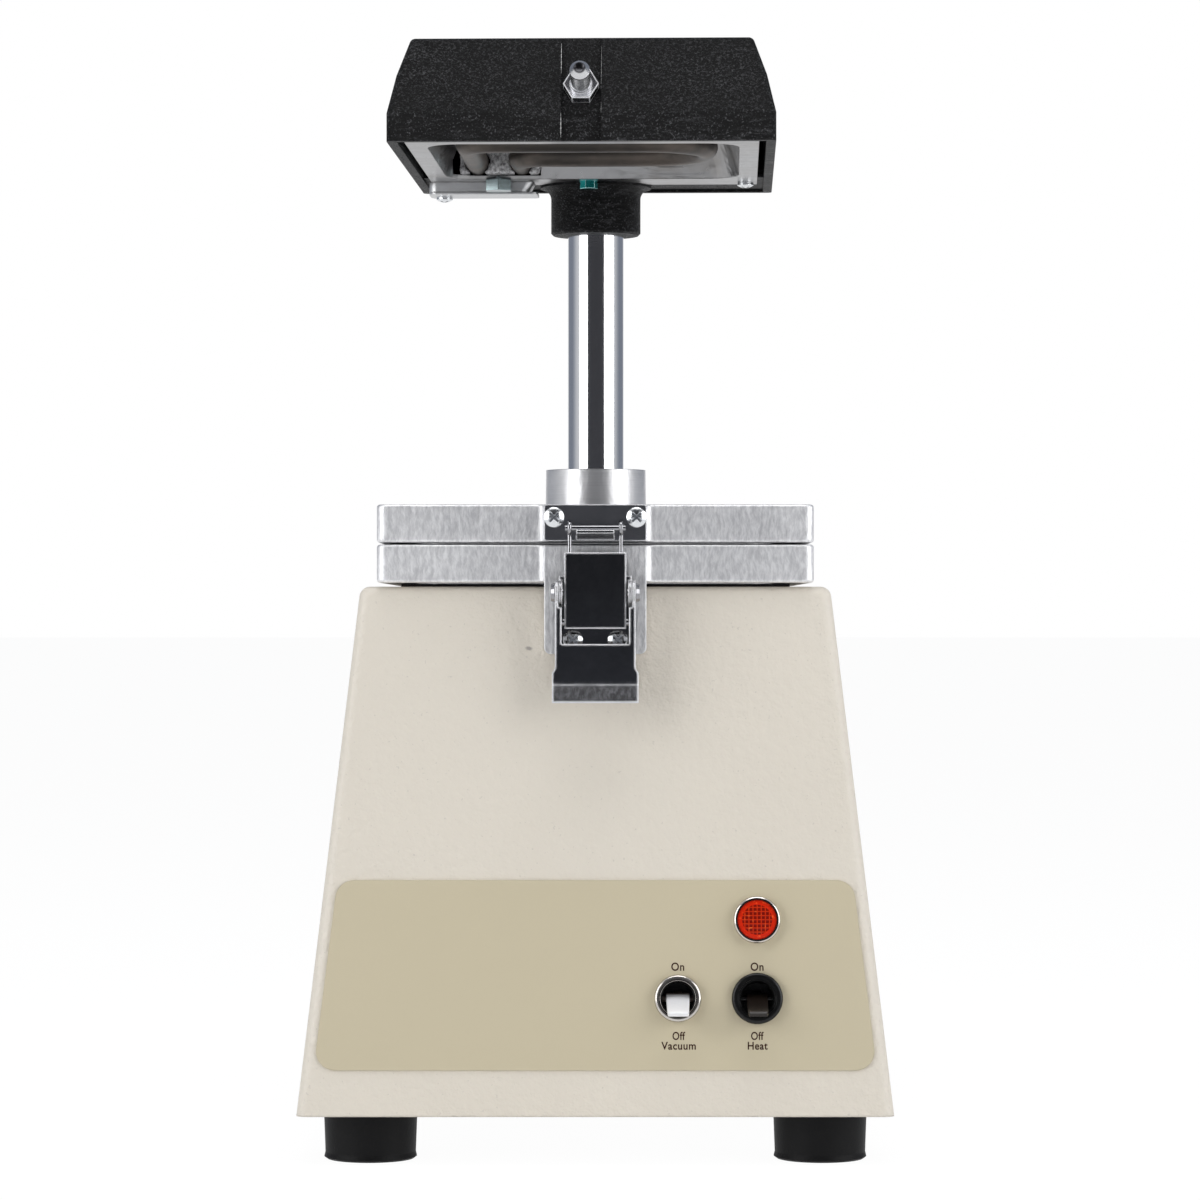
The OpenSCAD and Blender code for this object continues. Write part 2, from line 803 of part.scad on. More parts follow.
// Post
function post_screw_spots() = [for (sx = [-1, 1], sy = [-1, 1]) [sx * 20, axis_y + sy * 9]];

module post() {
    color("#c9ccd2") translate([0, axis_y, post_low]) difference() {
        cylinder(d = post_d, h = post_top - post_low);
        translate([0, 0, -over]) cylinder(d = post_bore, h = post_top - post_low + 2 * over);
    }
}

module post_flange() {
    color("#8d8f92") difference() {
        translate([-flange_w / 2, axis_y - flange_d / 2, top_z - wall - flange_t])
            cube([flange_w, flange_d, flange_t]);
        translate([0, axis_y, top_z - wall - flange_t - over])
            cylinder(r = post_d / 2 + fit_gap, h = flange_t + 2 * over);
        at_spots(post_screw_spots()) translate([0, 0, top_z - wall - flange_t - over])
            cylinder(r = 2 + fit_gap, h = flange_t + 2 * over);
    }
}

module post_screws() {
    color("#b9bcc0") at_spots(post_screw_spots())
        translate([0, 0, top_z - wall - flange_t]) rotate([180, 0, 0])
            pan_screw(3.6, 2.6, 2, flange_t + 2);
}

module thrust_washer() {
    color("#b08d4c") translate([0, axis_y, post_top]) difference() {
        cylinder(r = post_d / 2 - 0.2, h = washer_t);
        translate([0, 0, -over]) cylinder(r = step_r, h = washer_t + 2 * over);
    }
}

// Frames: a square plate with rounded corners and edges
module frame_plate(z) {
    ring = frame_corner - frame_edge;
    half = frame_w / 2 - frame_corner;
    translate([0, frame_y, z]) difference() {
        hull() for (sx = [-1, 1], sy = [-1, 1], dz = [frame_edge, frame_t - frame_edge])
            translate([sx * half, sy * half, dz]) rotate_extrude($fn = hull_fn)
                translate([ring, 0]) circle(r = frame_edge, $fn = hull_fn);
        translate([0, 0, -over]) linear_extrude(frame_t + 2 * over)
            rounded_square(window_w / 2, 2.5);
    }
}

// Outline of a pad with hollow fillets where it joins the frame
module pad_outline(fillet) {
    half = pad_w / 2;
    difference() {
        translate([-half - fillet, -front_y - fillet]) square([2 * (half + fillet), fillet + 3]);
        for (s = [-1, 1]) translate([s * (half + fillet), -front_y - fillet]) circle(fillet);
    }
    translate([-half, -pad_front]) square([2 * half, pad_proud + 3]);
}

module lower_frame() {
    lug_corner = 2;
    color("#c3c5c8") difference() {
        union() {
            frame_plate(lower_z);
            translate([0, 0, lower_z + 0.4]) linear_extrude(frame_t - 0.8) pad_outline(2);
            translate([0, -front_y, 0]) rotate([90, 0, 0]) linear_extrude(pad_proud)
                translate([-pad_w / 2, lug_z]) offset(lug_corner) offset(-lug_corner)
                    square([pad_w, lower_top - 0.4 - lug_z]);
            translate([0, axis_y, lower_z]) cylinder(r1 = boss_d / 2 + 0.3, r2 = boss_d / 2 - 0.2,
                h = boss_h);
            translate([-web_half, hinge_y - knuckle_r, lower_z])
                cube([2 * web_half, axis_y - web_sink - hinge_y + knuckle_r, hinge_z - lower_z]);
            translate([0, hinge_y, hinge_z]) along_x(knuckle_r, 2 * web_half);
        }
        translate([0, axis_y, lower_z - over]) cylinder(r = boss_bush_r + fit_gap, h = boss_h + 2 * over);
        translate([0, hinge_y, hinge_z]) along_x(hinge_r + fit_gap, 3 * web_half);
        translate([0, axis_y, friction_z]) rotate([-90, 0, 0])
            cylinder(r = plug_r + fit_gap, h = boss_d);
        translate([0, frame_y, lower_top - gasket_groove]) linear_extrude(gasket_groove + over)
            difference() {
                rounded_square(groove_half + groove_w, 4);
                rounded_square(groove_half, 4);
            }
        for (s = [-1, 1]) out_of_pad(s * latch_screw_x, latch_screw_z)
            translate([0, 0, -pad_proud - over]) cylinder(r = 1.5 + fit_gap, h = pad_proud + 2 * over);
    }
}

gasket_groove = 1.2;
groove_w = 5;
groove_half = window_w / 2 + (rail_w - groove_w) / 2;

module sheet_gasket() {
    color("#3a3a3b") translate([0, frame_y, lower_top - gasket_groove])
        linear_extrude(gasket_groove + frame_slot - soft_gap) difference() {
            rounded_square(groove_half + groove_w - 0.1, 3.9);
            rounded_square(groove_half + 0.1, 4.1);
        }
}

module carriage_bush() {
    color("#b59a5e") translate([0, axis_y, lower_z]) difference() {
        cylinder(r = boss_bush_r, h = boss_h - 0.4);
        translate([0, 0, -over]) cylinder(r = post_d / 2 + fit_gap, h = boss_h + 2 * over);
        translate([0, 0, friction_z - lower_z]) rotate([-90, 0, 0])
            cylinder(r = plug_r + fit_gap, h = boss_d);
    }
}

friction_z = lower_z + boss_h * 0.45;
plug_r = 3;
plug_l = 2.4;
spring_l = 3;
plug_y = axis_y + post_d / 2 + 0.1;

module behind_post(y0) {
    translate([0, y0, friction_z]) rotate([-90, 0, 0]) children();
}

module friction_pad() {
    color("#e8e4d8") behind_post(plug_y) cylinder(r = plug_r, h = plug_l);
}

module friction_spring() {
    color("#9a9da1") behind_post(plug_y + plug_l) difference() {
        cylinder(r = plug_r - 0.3, h = spring_l);
        translate([0, 0, -over]) cylinder(r = plug_r - 0.9, h = spring_l + 2 * over);
    }
}

module friction_screw() {
    screw_l = boss_d / 2 - post_d / 2 - 0.1 - plug_l - spring_l;
    color("#4a4b4d") behind_post(plug_y + plug_l + spring_l) difference() {
        cylinder(r = plug_r, h = screw_l);
        translate([0, 0, screw_l - 1.6]) cylinder(r = 1.6, h = 2, $fn = 6);
    }
}

module hinge_pin() {
    color("#b9bcc0") translate([0, hinge_y, hinge_z])
        along_x(hinge_r, 2 * (web_half + side_gap + lug_w) + 2);
}

module upper_frame() {
    notch_y = hinge_y - knuckle_r - side_gap;
    color("#c6c8cb") difference() {
        union() {
            difference() {
                frame_plate(upper_z);
                translate([-web_half - side_gap, notch_y, upper_z - over])
                    cube([2 * (web_half + side_gap), frame_w, frame_t + 2 * over]);
            }
            translate([0, 0, upper_z + 0.4]) linear_extrude(frame_t - 0.8) pad_outline(2);
            for (s = [-1, 1]) translate([s * (web_half + side_gap + lug_w / 2), 0, 0]) {
                translate([0, hinge_y, hinge_z]) along_x(knuckle_r, lug_w);
                translate([-lug_w / 2, frame_back - 4, hinge_z - knuckle_r])
                    cube([lug_w, hinge_y - frame_back + 4, 2 * knuckle_r]);
            }
        }
        translate([0, hinge_y, hinge_z]) along_x(hinge_r + fit_gap, frame_w);
        for (s = [-1, 1]) out_of_pad(s * strike_screw_x, strike_screw_z)
            translate([0, 0, -9]) cylinder(r = 1.75 + fit_gap, h = 10);
    }
}

// Latch
module strike_plate() {
    inner_z = strike_z + 1.4;
    color("#8b8d90") difference() {
        union() {
            out_of_pad(0, 0) linear_extrude(strike_t) translate([-pad_w / 2, strike_z])
                offset(0.8) offset(-0.8) square([pad_w, strike_h]);
            translate([0, -pad_front, tongue_root_z()]) rotate([-tongue_tilt, 0, 0])
                translate([-tongue_half, -tongue_out, -tongue_t])
                    cube([2 * tongue_half, tongue_out, tongue_t]);
        }
        for (s = [-1, 1]) out_of_pad(s * strike_screw_x, strike_screw_z)
            translate([0, 0, -over]) cylinder(r = 1.75 + fit_gap, h = strike_t + 2 * over);
        translate([-pad_w, -pad_front, inner_z - 6]) cube([2 * pad_w, 20, 30]);
    }
}

// Height at the pad's face of the tongue's upper side, which clears the cross pin
function tongue_root_z() = hook_z - (cross_r + soft_gap) / cos(tongue_tilt)
    - hook_out * tan(tongue_tilt);

module strike_screws() {
    color("#d4d6d9") for (s = [-1, 1])
        out_of_pad(s * strike_screw_x, strike_screw_z) translate([0, 0, strike_t])
            pan_screw(3.2, 2.1, 1.75, 8);
}

module latch_base() {
    low = latch_screw_z - 4.3;
    high = pivot_z + 5.5;
    ear_x = ear_in + ear_t / 2;
    color("#6f7174") difference() {
        union() {
            out_of_pad(0, 0) linear_extrude(1.2) translate([-ear_in - ear_t, low])
                square([2 * (ear_in + ear_t), high - low]);
            for (s = [-1, 1]) {
                translate([s * ear_x, -pad_front - pivot_out, pivot_z]) along_x(ear_r, ear_t);
                translate([s * ear_x - ear_t / 2, -pad_front - pivot_out, pivot_z - ear_r])
                    cube([ear_t, pivot_out, 2 * ear_r]);
            }
        }
        translate([0, -pad_front - pivot_out, pivot_z]) along_x(rivet_r + fit_gap, 60);
        for (s = [-1, 1]) out_of_pad(s * latch_screw_x, latch_screw_z)
            translate([0, 0, -over]) cylinder(r = 1.5 + fit_gap, h = 4);
    }
}

module latch_screws() {
    color("#aeb1b4") for (s = [-1, 1])
        out_of_pad(s * latch_screw_x, latch_screw_z) translate([0, 0, 1.2])
            pan_screw(3.15, 2, 1.5, 5.5);
}

module pivot_rivets() {
    head_t = 1.2;
    color("#a7aaad") for (s = [-1, 1]) scale([s, 1, 1])
        translate([ear_in - 0.3, -pad_front - pivot_out, pivot_z]) rotate([0, 90, 0]) {
            cylinder(r = rivet_r, h = arm_in + arm_t + 0.1 - ear_in + 0.4);
            translate([0, 0, arm_in + arm_t + 0.1 - ear_in + 0.3])
                cylinder(r1 = rivet_head_r, r2 = rivet_head_r - 0.5, h = head_t);
        }
}

// Lever: two arms, a face with a window, and a tab bent outward
module latch_lever() {
    face_low = pivot_z - face_drop;
    tab_low = pivot_z - tab_drop;
    window_low = pivot_z - window_drop;
    wide_z = pivot_z - wide_drop;
    arm_out = arm_in + arm_t;
    tab_half = arm_out + 0.95;
    window_half = 10.65;
    color("#5d5f62") difference() {
        union() {
            for (s = [-1, 1]) translate([s * (arm_in + arm_t / 2), -pad_front, 0]) {
                translate([0, -pivot_out, pivot_z]) along_x(arm_r, arm_t);
                rotate([90, 0, 90]) translate([0, 0, -arm_t / 2]) linear_extrude(arm_t)
                    polygon([[-pivot_out + arm_r, pivot_z], [-lever_face - lever_t, pivot_z],
                        [-lever_face - lever_t, wide_z], [-lever_face + 1, wide_z],
                        [-link_out + 2.2, link_z - 2.4], [-link_out + 2.2, link_z + 1]]);
            }
            out_of_pad(0, 0) translate([0, 0, lever_face]) linear_extrude(lever_t) {
                translate([-arm_out, wide_z - 0.8]) square([2 * arm_out, window_low - wide_z + 0.8]);
                for (s = [-1, 1]) translate([s * (window_half + arm_out) / 2, 0])
                    translate([-(arm_out - window_half) / 2, window_low - 0.1])
                        square([arm_out - window_half, pivot_z - ear_r - 2 * soft_gap - window_low]);
                polygon([[-arm_out, wide_z], [-tab_half, wide_z - 1.5], [-tab_half, face_low],
                    [tab_half, face_low], [tab_half, wide_z - 1.5], [arm_out, wide_z]]);
            }
            translate([0, -pad_front, 0]) rotate([90, 0, 90]) translate([0, 0, -tab_half])
                linear_extrude(2 * tab_half) polygon([[-lever_face, face_low + 0.1],
                    [-lever_face - lever_t, face_low + 0.1], [-lever_face - lever_t - 3.1, tab_low],
                    [-lever_face - 3.1 + 0.1, tab_low]]);
        }
        translate([0, -pad_front - pivot_out, pivot_z]) along_x(rivet_r + fit_gap, 60);
        translate([0, -pad_front - link_out, link_z]) along_x(link_pin_r + fit_gap, 60);
    }
}

module link_pin() {
    color("#a7aaad") translate([0, -pad_front - link_out, link_z])
        along_x(link_pin_r, 2 * (arm_in + arm_t));
}

link_face = 5.6;
link_low = link_z - 2.1;
link_high = link_z + 22.1;

// Folded link: a front plate with two cheeks round the link pin
module link_plate() {
    cheek_t = 1;
    color("#38393b") difference() {
        union() {
            out_of_pad(0, 0) translate([-link_half, link_low, link_face])
                cube([2 * link_half, link_high - link_low, 1]);
            for (s = [-1, 1]) translate([s * (link_half - cheek_t / 2), -pad_front, 0]) {
                translate([0, -link_out, link_z]) along_x(2.1, cheek_t);
                translate([-cheek_t / 2, -link_face - 0.5, link_low])
                    cube([cheek_t, link_face + 0.5 - link_out, link_high - link_low]);
            }
            translate([-link_half, -pad_front - link_face - 0.5, link_high - 5])
                cube([2 * link_half, link_face + 0.5 - 2, 1]);
        }
        translate([0, -pad_front - link_out, link_z]) along_x(link_pin_r + fit_gap, 60);
        for (s = [-1, 1]) translate([s * wire_x, -pad_front - wire_out, link_high - 7])
            cylinder(r = wire_r + 0.02, h = 12);
    }
}

ring_r = cross_r + 0.1 + wire_r;
wire_out = hook_out - ring_r;

// Two wires from the link, each bent round the cross pin in an open loop
module bail_wires() {
    low = link_high - 6;
    color("#9a9da1") for (s = [-1, 1]) {
        translate([s * wire_x, -pad_front - wire_out, low]) cylinder(r = wire_r, h = hook_z - low);
        translate([s * wire_x, -pad_front - hook_out, hook_z]) rotate([0, -90, 0])
            rotate([0, 0, 90]) rotate_extrude(angle = -262) translate([ring_r, 0]) circle(r = wire_r);
    }
}

module cross_pin() {
    half = 9.6;
    color("#c9ccd0") translate([0, -pad_front - hook_out, hook_z]) along_x(cross_r, 2 * half);
}

// Head
module hood_outer() {
    r = 2;
    half = head_w / 2;
    back = axis_y + head_back;
    hull() {
        for (sx = [-1, 1]) for (y = [head_front + r, back - r])
            translate([sx * (half - r), y, head_z]) cylinder(r = r, h = skirt_h, $fn = hull_fn);
        for (sx = [-1, 1]) for (y = [head_front + head_lean / 2 + r, back - head_lean / 2 - r])
            translate([sx * (half - head_lean / 2 - r + flank_swell), y, head_z + (head_h + skirt_h) / 2])
                cylinder(r = r, h = 0.01, $fn = hull_fn);
        for (sx = [-1, 1]) for (y = [head_front + head_lean + r, back - head_lean - r])
            translate([sx * (half - head_lean - r), y, head_z + head_h - r])
                sphere(r = r, $fn = hull_fn);
    }
}

module hood_inner() {
    w = head_w - 2 * hood_wall;
    l = head_l - 2 * hood_wall;
    thin = 0.01;
    back = axis_y + head_back - hood_wall;
    hull() {
        translate([-w / 2, back - l, head_z - over]) cube([w, l, skirt_h + over]);
        translate([-w / 2 + head_lean, back - l + head_lean, head_z + head_h - hood_wall])
            cube([w - 2 * head_lean, l - 2 * head_lean, thin]);
    }
}

// Side profile of the shallow channel that runs up the front of the hood
module front_channel() {
    deep = channel_deep;
    translate([-channel_w / 2, 0, head_z]) rotate([90, 0, 90]) linear_extrude(channel_w)
        polygon([[head_front - over, -over], [head_front + deep, -over],
            [head_front + deep, skirt_h], [head_front + deep + head_lean, head_h],
            [head_front + deep + head_lean, head_h + over], [head_front - over, head_h + over]]);
}

module on_stud() {
    y = head_front + channel_deep + (stud_rise - skirt_h) * tan(stud_lean);
    translate([0, y, head_z + stud_rise]) rotate([90 - stud_lean, 0, 0]) children();
}

module heater_hood() {
    half = head_w / 2 - hood_wall;
    back = axis_y + head_back - hood_wall;
    fillet = shoulder_r - collar_d / 2;
    color("#232325") on_head() difference() {
        union() {
            difference() {
                hood_outer();
                hood_inner();
                front_channel();
            }
            translate([-half - 0.5, floor_y, floor_z]) cube([2 * half + 1, back - floor_y + 0.5, floor_t]);
            translate([0, axis_y, 0]) rotate_extrude() difference() {
                polygon([[0, collar_z], [collar_d / 2 - 0.8, collar_z], [collar_d / 2, collar_z + 0.8],
                    [collar_d / 2, floor_z - 1.5 - fillet], [shoulder_r, floor_z - 1.5],
                    [shoulder_r, floor_z + 1], [collar_d / 2 - 1, floor_z + 1],
                    [collar_d / 2 - 1, boss_in_top], [0, boss_in_top]]);
                translate([shoulder_r, floor_z - 1.5 - fillet]) circle(fillet);
            }
        }
        translate([0, axis_y, collar_z - over])
            cylinder(r = post_d / 2 + fit_gap, h = step_z - collar_z + over);
        translate([0, axis_y, collar_z]) cylinder(r = step_r, h = boss_in_top - collar_z + over);
        on_stud() translate([0, 0, -12]) cylinder(r = stud_d / 2 + fit_gap, h = 20);
        for (p = [cover_screw, rim_screw, hex_screw]) translate([p[0], p[1], floor_z - over])
            cylinder(r = 1.5 + fit_gap, h = floor_t + 2 * over);
    }
}

cover_screw = [-53.5, cover_y0 + 9.5];
rim_screw = [53.5, axis_y - 14.5];
hex_screw = [-1.7, floor_y + 1.5];
clamp_nut = [-33.4, floor_y - 1.7];

// Pressed pan with a flat rim
module reflector() {
    corner = 12;
    module pan_corners(inset, r) {
        for (sx = [-1, 1]) for (y = [pan_front + inset + r, pan_back - inset - r])
            translate([sx * (pan_half - inset - r), y, 0]) cylinder(r = r, h = 0.01, $fn = hull_fn);
    }
    color("#9fa1a5") on_head() difference() {
        union() {
            translate([-rim_half, head_front + 5.5, rim_z])
                cube([2 * rim_half, rim_back - head_front - 5.5, rim_t]);
            hull() {
                translate([0, 0, rim_z + 0.1]) pan_corners(-rim_t, corner + rim_t);
                translate([0, 0, rim_z + pan_h + rim_t]) pan_corners(pan_lean - rim_t, corner - 3);
            }
        }
        hull() {
            translate([0, 0, rim_z - 0.01]) pan_corners(0, corner);
            translate([0, 0, rim_z + pan_h]) pan_corners(pan_lean, corner - 4);
        }
        translate([0, axis_y, rim_z - over]) cylinder(r = shoulder_r + shoulder_gap, h = 3 * rim_t + over);
        translate([pad_x0 - 2.4, pan_back - 10, rim_z + 1.4])
            cube([pad_x1 - pad_x0 + 2.6, 20, 12]);
        for (p = [cover_screw, rim_screw, hex_screw, clamp_nut]) translate([p[0], p[1], rim_z - over])
            cylinder(r = 1.5 + fit_gap, h = rim_t + 2 * over);
    }
}

// Hairpin of round tube: two runs across, two legs back to the pad
module heating_element() {
    r = element_d / 2;
    module across(y, x0, x1) {
        translate([x0, y, tube_z]) rotate([0, 90, 0]) cylinder(r = r, h = x1 - x0);
    }
    module back(x, y0, y1, r = r) {
        translate([x, y0, tube_z]) rotate([-90, 0, 0]) cylinder(r = r, h = y1 - y0);
    }
    module bend(x, y, bend_r, a0, a) {
        translate([x, y, tube_z]) rotate([0, 0, a0]) rotate_extrude(angle = a)
            translate([bend_r, 0]) circle(r = r);
    }
    turn_r = (run_back - run_front) / 2;
    color("#4a4239") on_head() {
        back(leg_left, run_front + leg_bend, leg_end);
        bend(leg_left + leg_bend, run_front + leg_bend, leg_bend, 180, 90);
        across(run_front, leg_left + leg_bend, bend_x);
        bend(bend_x, run_front + turn_r, turn_r, -90, 180);
        across(run_back, leg_right + leg_bend, bend_x);
        bend(leg_right + leg_bend, run_back + leg_bend, leg_bend, 180, 90);
        back(leg_right, run_back + leg_bend, leg_end);
        for (x = [leg_left, leg_right]) back(x, leg_end - 0.1, leg_end + 12, 1.3);
    }
}

module element_pad() {
    color("#b9b9b8") on_head() difference() {
        translate([pad_x0, pad_y0, rim_z + 1.6]) cube([pad_x1 - pad_x0, pad_y1 - pad_y0, 11]);
        for (x = [leg_left, leg_right]) translate([x, pad_y0 - over, tube_z]) rotate([-90, 0, 0])
            cylinder(r = element_d / 2 + 0.4, h = 30);
    }
}

// Shallow tray under the element's terminals
module terminal_cover() {
    r = 3;
    low = rim_z - cover_drop;
    x1 = cover_x1 - 1.2;
    module tray_corners(grow, x_end, z) {
        for (y = [cover_y0 + 0.4 + r, cover_y1 - r]) {
            translate([cover_x0 + r, y, z]) cylinder(r = r + grow, h = 0.01, $fn = hull_fn);
            translate([x_end - r, y, z]) cylinder(r = r + grow, h = 0.01, $fn = hull_fn);
        }
    }
    color("#b4b6b8") on_head() difference() {
        union() {
            hull() {
                tray_corners(0, x1 - 2.6, low);
                tray_corners(0, x1, rim_z - 0.02);
            }
            translate([cover_x0 + 0.6, cover_y0, low]) linear_extrude(cover_t)
                offset(2) offset(-2) square([cover_x1 - cover_x0 - 0.6, cover_y1 - cover_y0 + 0.8]);
        }
        hull() {
            tray_corners(-cover_t, x1 - 2.4, low + cover_t);
            tray_corners(-cover_t, x1, rim_z + 0.2);
        }
        translate([cover_screw[0], cover_screw[1], low - over])
            cylinder(r = 1.5 + fit_gap, h = cover_t + 2 * over);
    }
}

module cover_screws() {
    low = rim_z - cover_drop;
    color("#c9ccd0") on_head() {
        translate([cover_screw[0], cover_screw[1], low]) rotate([180, 0, 0])
            pan_screw(2.9, 2, 1.5, floor_z + floor_t - low);
        translate([rim_screw[0], rim_screw[1], rim_z]) rotate([180, 0, 0])
            pan_screw(2.9, 2, 1.5, rim_t + floor_t);
    }
}

// Hex-headed screws under the rim: one before the collar, one for the element's pad
module hex_screws() {
    across = 5.5;
    clamp_across = 8.8;
    head_t = 3;
    color("#2f8f8c") on_head() {
        translate([hex_screw[0], hex_screw[1], rim_z - head_t]) {
            rotate([0, 0, 10]) cylinder(d = across / cos(30), h = head_t, $fn = 6);
            cylinder(r = 1.5, h = head_t + rim_t + floor_t);
        }
        translate([clamp_nut[0], clamp_nut[1], rim_z - head_t - 1]) {
            rotate([0, 0, 30]) cylinder(d = clamp_across / cos(30), h = head_t + 1, $fn = 6);
            cylinder(r = 1.5, h = head_t + 1 + rim_t + 0.5);
        }
    }
}

module handle_stud() {
    r = stud_d / 2;
    point_l = 2.6;
    point_r = 1.6;
    inner = hood_wall + 3;
    thread_deep = 0.5;
    root_r = r - thread_deep;
    color("#c6c9cc") on_head() on_stud() {
        translate([0, 0, -inner]) cylinder(r = root_r, h = inner + stud_nut_t);
        translate([0, 0, stud_nut_t]) cylinder(r = r, h = stud_free - point_l);
        translate([0, 0, stud_nut_t + stud_free - point_l])
            cylinder(r1 = r, r2 = point_r, h = point_l);
        translate([0, 0, -inner - 0.5]) cylinder(d = 10 / cos(30), h = 3, $fn = 6);
    }
}

module stud_nut() {
    color("#d4d6d9") on_head() on_stud()
        hexagon_nut(10, stud_nut_t, stud_d / 2 + fit_gap);
}

base_housing();
bottom_plate();
rubber_feet();
foot_screws();
control_panel();
lamp_holder();
lamp_lens();
vacuum_bezel();
heat_bezel();
switch_bodies();
panel_nuts();
vacuum_plate();
plate_screws();
base_gasket();
plenum();
motor_gasket();
fan_housing();
motor_can();
shaft_bearings();
motor_clamp();
motor_studs();
terminal_block();
wiring();
cord_gland();
post();
post_flange();
post_screws();
thrust_washer();
fan_wheel();
motor_shaft();
lower_frame();
carriage_bush();
friction_pad();
friction_spring();
friction_screw();
hinge_pin();
sheet_gasket();
latch_base();
latch_screws();
pivot_rivets();
upper_frame();
strike_plate();
strike_screws();
latch_lever();
link_pin();
link_plate();
bail_wires();
cross_pin();
heater_hood();
reflector();
heating_element();
element_pad();
terminal_cover();
cover_screws();
hex_screws();
handle_stud();
stud_nut();
vacuum_paddle();
heat_paddle();
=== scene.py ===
# %% [markdown]
# # A dental vacuum former, dressed in Blender
# The CAD model arrives as a fixed frame: every solid already sits where it belongs, in
# metres, with the table at z = 0 and the control panel facing -y. This lesson adds a camera,
# soft light, finishes made only from nodes, and the pieces whose detail a CAD solid lacks.

# %% Load the frame
import math
import bmesh
import bpy
from mathutils import Matrix, Vector, noise


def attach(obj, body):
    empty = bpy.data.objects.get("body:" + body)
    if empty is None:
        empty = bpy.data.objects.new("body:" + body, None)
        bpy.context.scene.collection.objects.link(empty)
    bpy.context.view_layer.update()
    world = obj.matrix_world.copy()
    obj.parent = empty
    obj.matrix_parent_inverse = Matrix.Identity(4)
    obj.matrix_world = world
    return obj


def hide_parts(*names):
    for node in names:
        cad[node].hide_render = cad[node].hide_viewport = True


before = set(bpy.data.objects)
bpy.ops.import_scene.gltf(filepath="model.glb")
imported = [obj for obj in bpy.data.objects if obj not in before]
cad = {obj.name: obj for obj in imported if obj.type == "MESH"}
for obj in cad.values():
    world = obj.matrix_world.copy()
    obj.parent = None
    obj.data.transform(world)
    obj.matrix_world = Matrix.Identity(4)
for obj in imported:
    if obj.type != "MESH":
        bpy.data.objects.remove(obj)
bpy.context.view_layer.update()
MM = 0.001

# %% [markdown]
# ## The camera
# The machine was photographed straight from the front, level, with a long lens: the post's
# sides stay parallel and the base's top can't be seen. A 126 mm lens at 1.34 m from the
# clamping frames gives that flat look. Tilting it up would make the sides converge, so it
# stays level and the picture is shifted by 20 of its 1200 pixels instead.

# %% Camera
CAMERA_PLACE = (1.5 * MM, -1434 * MM, 172.3 * MM)
LENS_LENGTH, SENSOR = 126, 36
SHIFT = 20 / 1200

camera = bpy.data.objects.new("camera", bpy.data.cameras.new("camera"))
bpy.context.scene.collection.objects.link(camera)
camera.location = CAMERA_PLACE
camera.rotation_euler = (math.radians(90), 0, 0)
camera.data.lens = LENS_LENGTH
camera.data.sensor_width = SENSOR
camera.data.shift_y = SHIFT
bpy.context.scene.camera = camera
bpy.context.scene.view_settings.view_transform = "Standard"
print("camera", tuple(round(v, 3) for v in camera.location), "lens", camera.data.lens)

# %% [markdown]
# ## Shader maths as plain expressions
# A material is a graph of nodes, and a long graph is hard to read. `Wire` wraps one output
# socket and overloads the operators, so `1 - mask * 0.5` adds its own Math nodes. The
# reflected forms, such as `__rsub__`, are what let a plain number stand on the left.

# %% A wire that does arithmetic
class Wire:
    """One output socket that can be used in arithmetic."""

    def __init__(self, tree, socket):
        self.tree, self.socket = tree, socket

    def math(self, operation, a, b=None):
        sockets = {0: a} if b is None else {0: a, 1: b}
        return self.tree.add("ShaderNodeMath", {"operation": operation}, sockets)

    def __add__(self, other): return self.math("ADD", self, other)
    def __radd__(self, other): return self.math("ADD", other, self)
    def __sub__(self, other): return self.math("SUBTRACT", self, other)
    def __rsub__(self, other): return self.math("SUBTRACT", other, self)
    def __mul__(self, other): return self.math("MULTIPLY", self, other)
    def __rmul__(self, other): return self.math("MULTIPLY", other, self)
    def __truediv__(self, other): return self.math("DIVIDE", self, other)
    def __pow__(self, other): return self.math("POWER", self, other)
    def __abs__(self): return self.math("ABSOLUTE", self)

    def larger(self, other): return self.math("MAXIMUM", self, other)
    def smaller(self, other): return self.math("MINIMUM", self, other)
    def fraction(self): return self.math("FRACT", self)

    def fade(self, low, high, to_low=0.0, to_high=1.0):
        """Smooth step of this value from low to high."""
        return self.tree.add("ShaderNodeMapRange", {"interpolation_type": "SMOOTHSTEP"},
                             {"Value": self, "From Min": low, "From Max": high,
                              "To Min": to_low, "To Max": to_high})


print("a wire knows", len([name for name in vars(Wire) if name.startswith("__r")]), "reflected forms")

# %% [markdown]
# ## A tree of nodes
# `Tree` makes every other node from its type, its settings and the values or wires of its
# sockets. The settings go first, because an operation decides which sockets a node has. The
# short methods below it only name the few nodes that all finishes share.

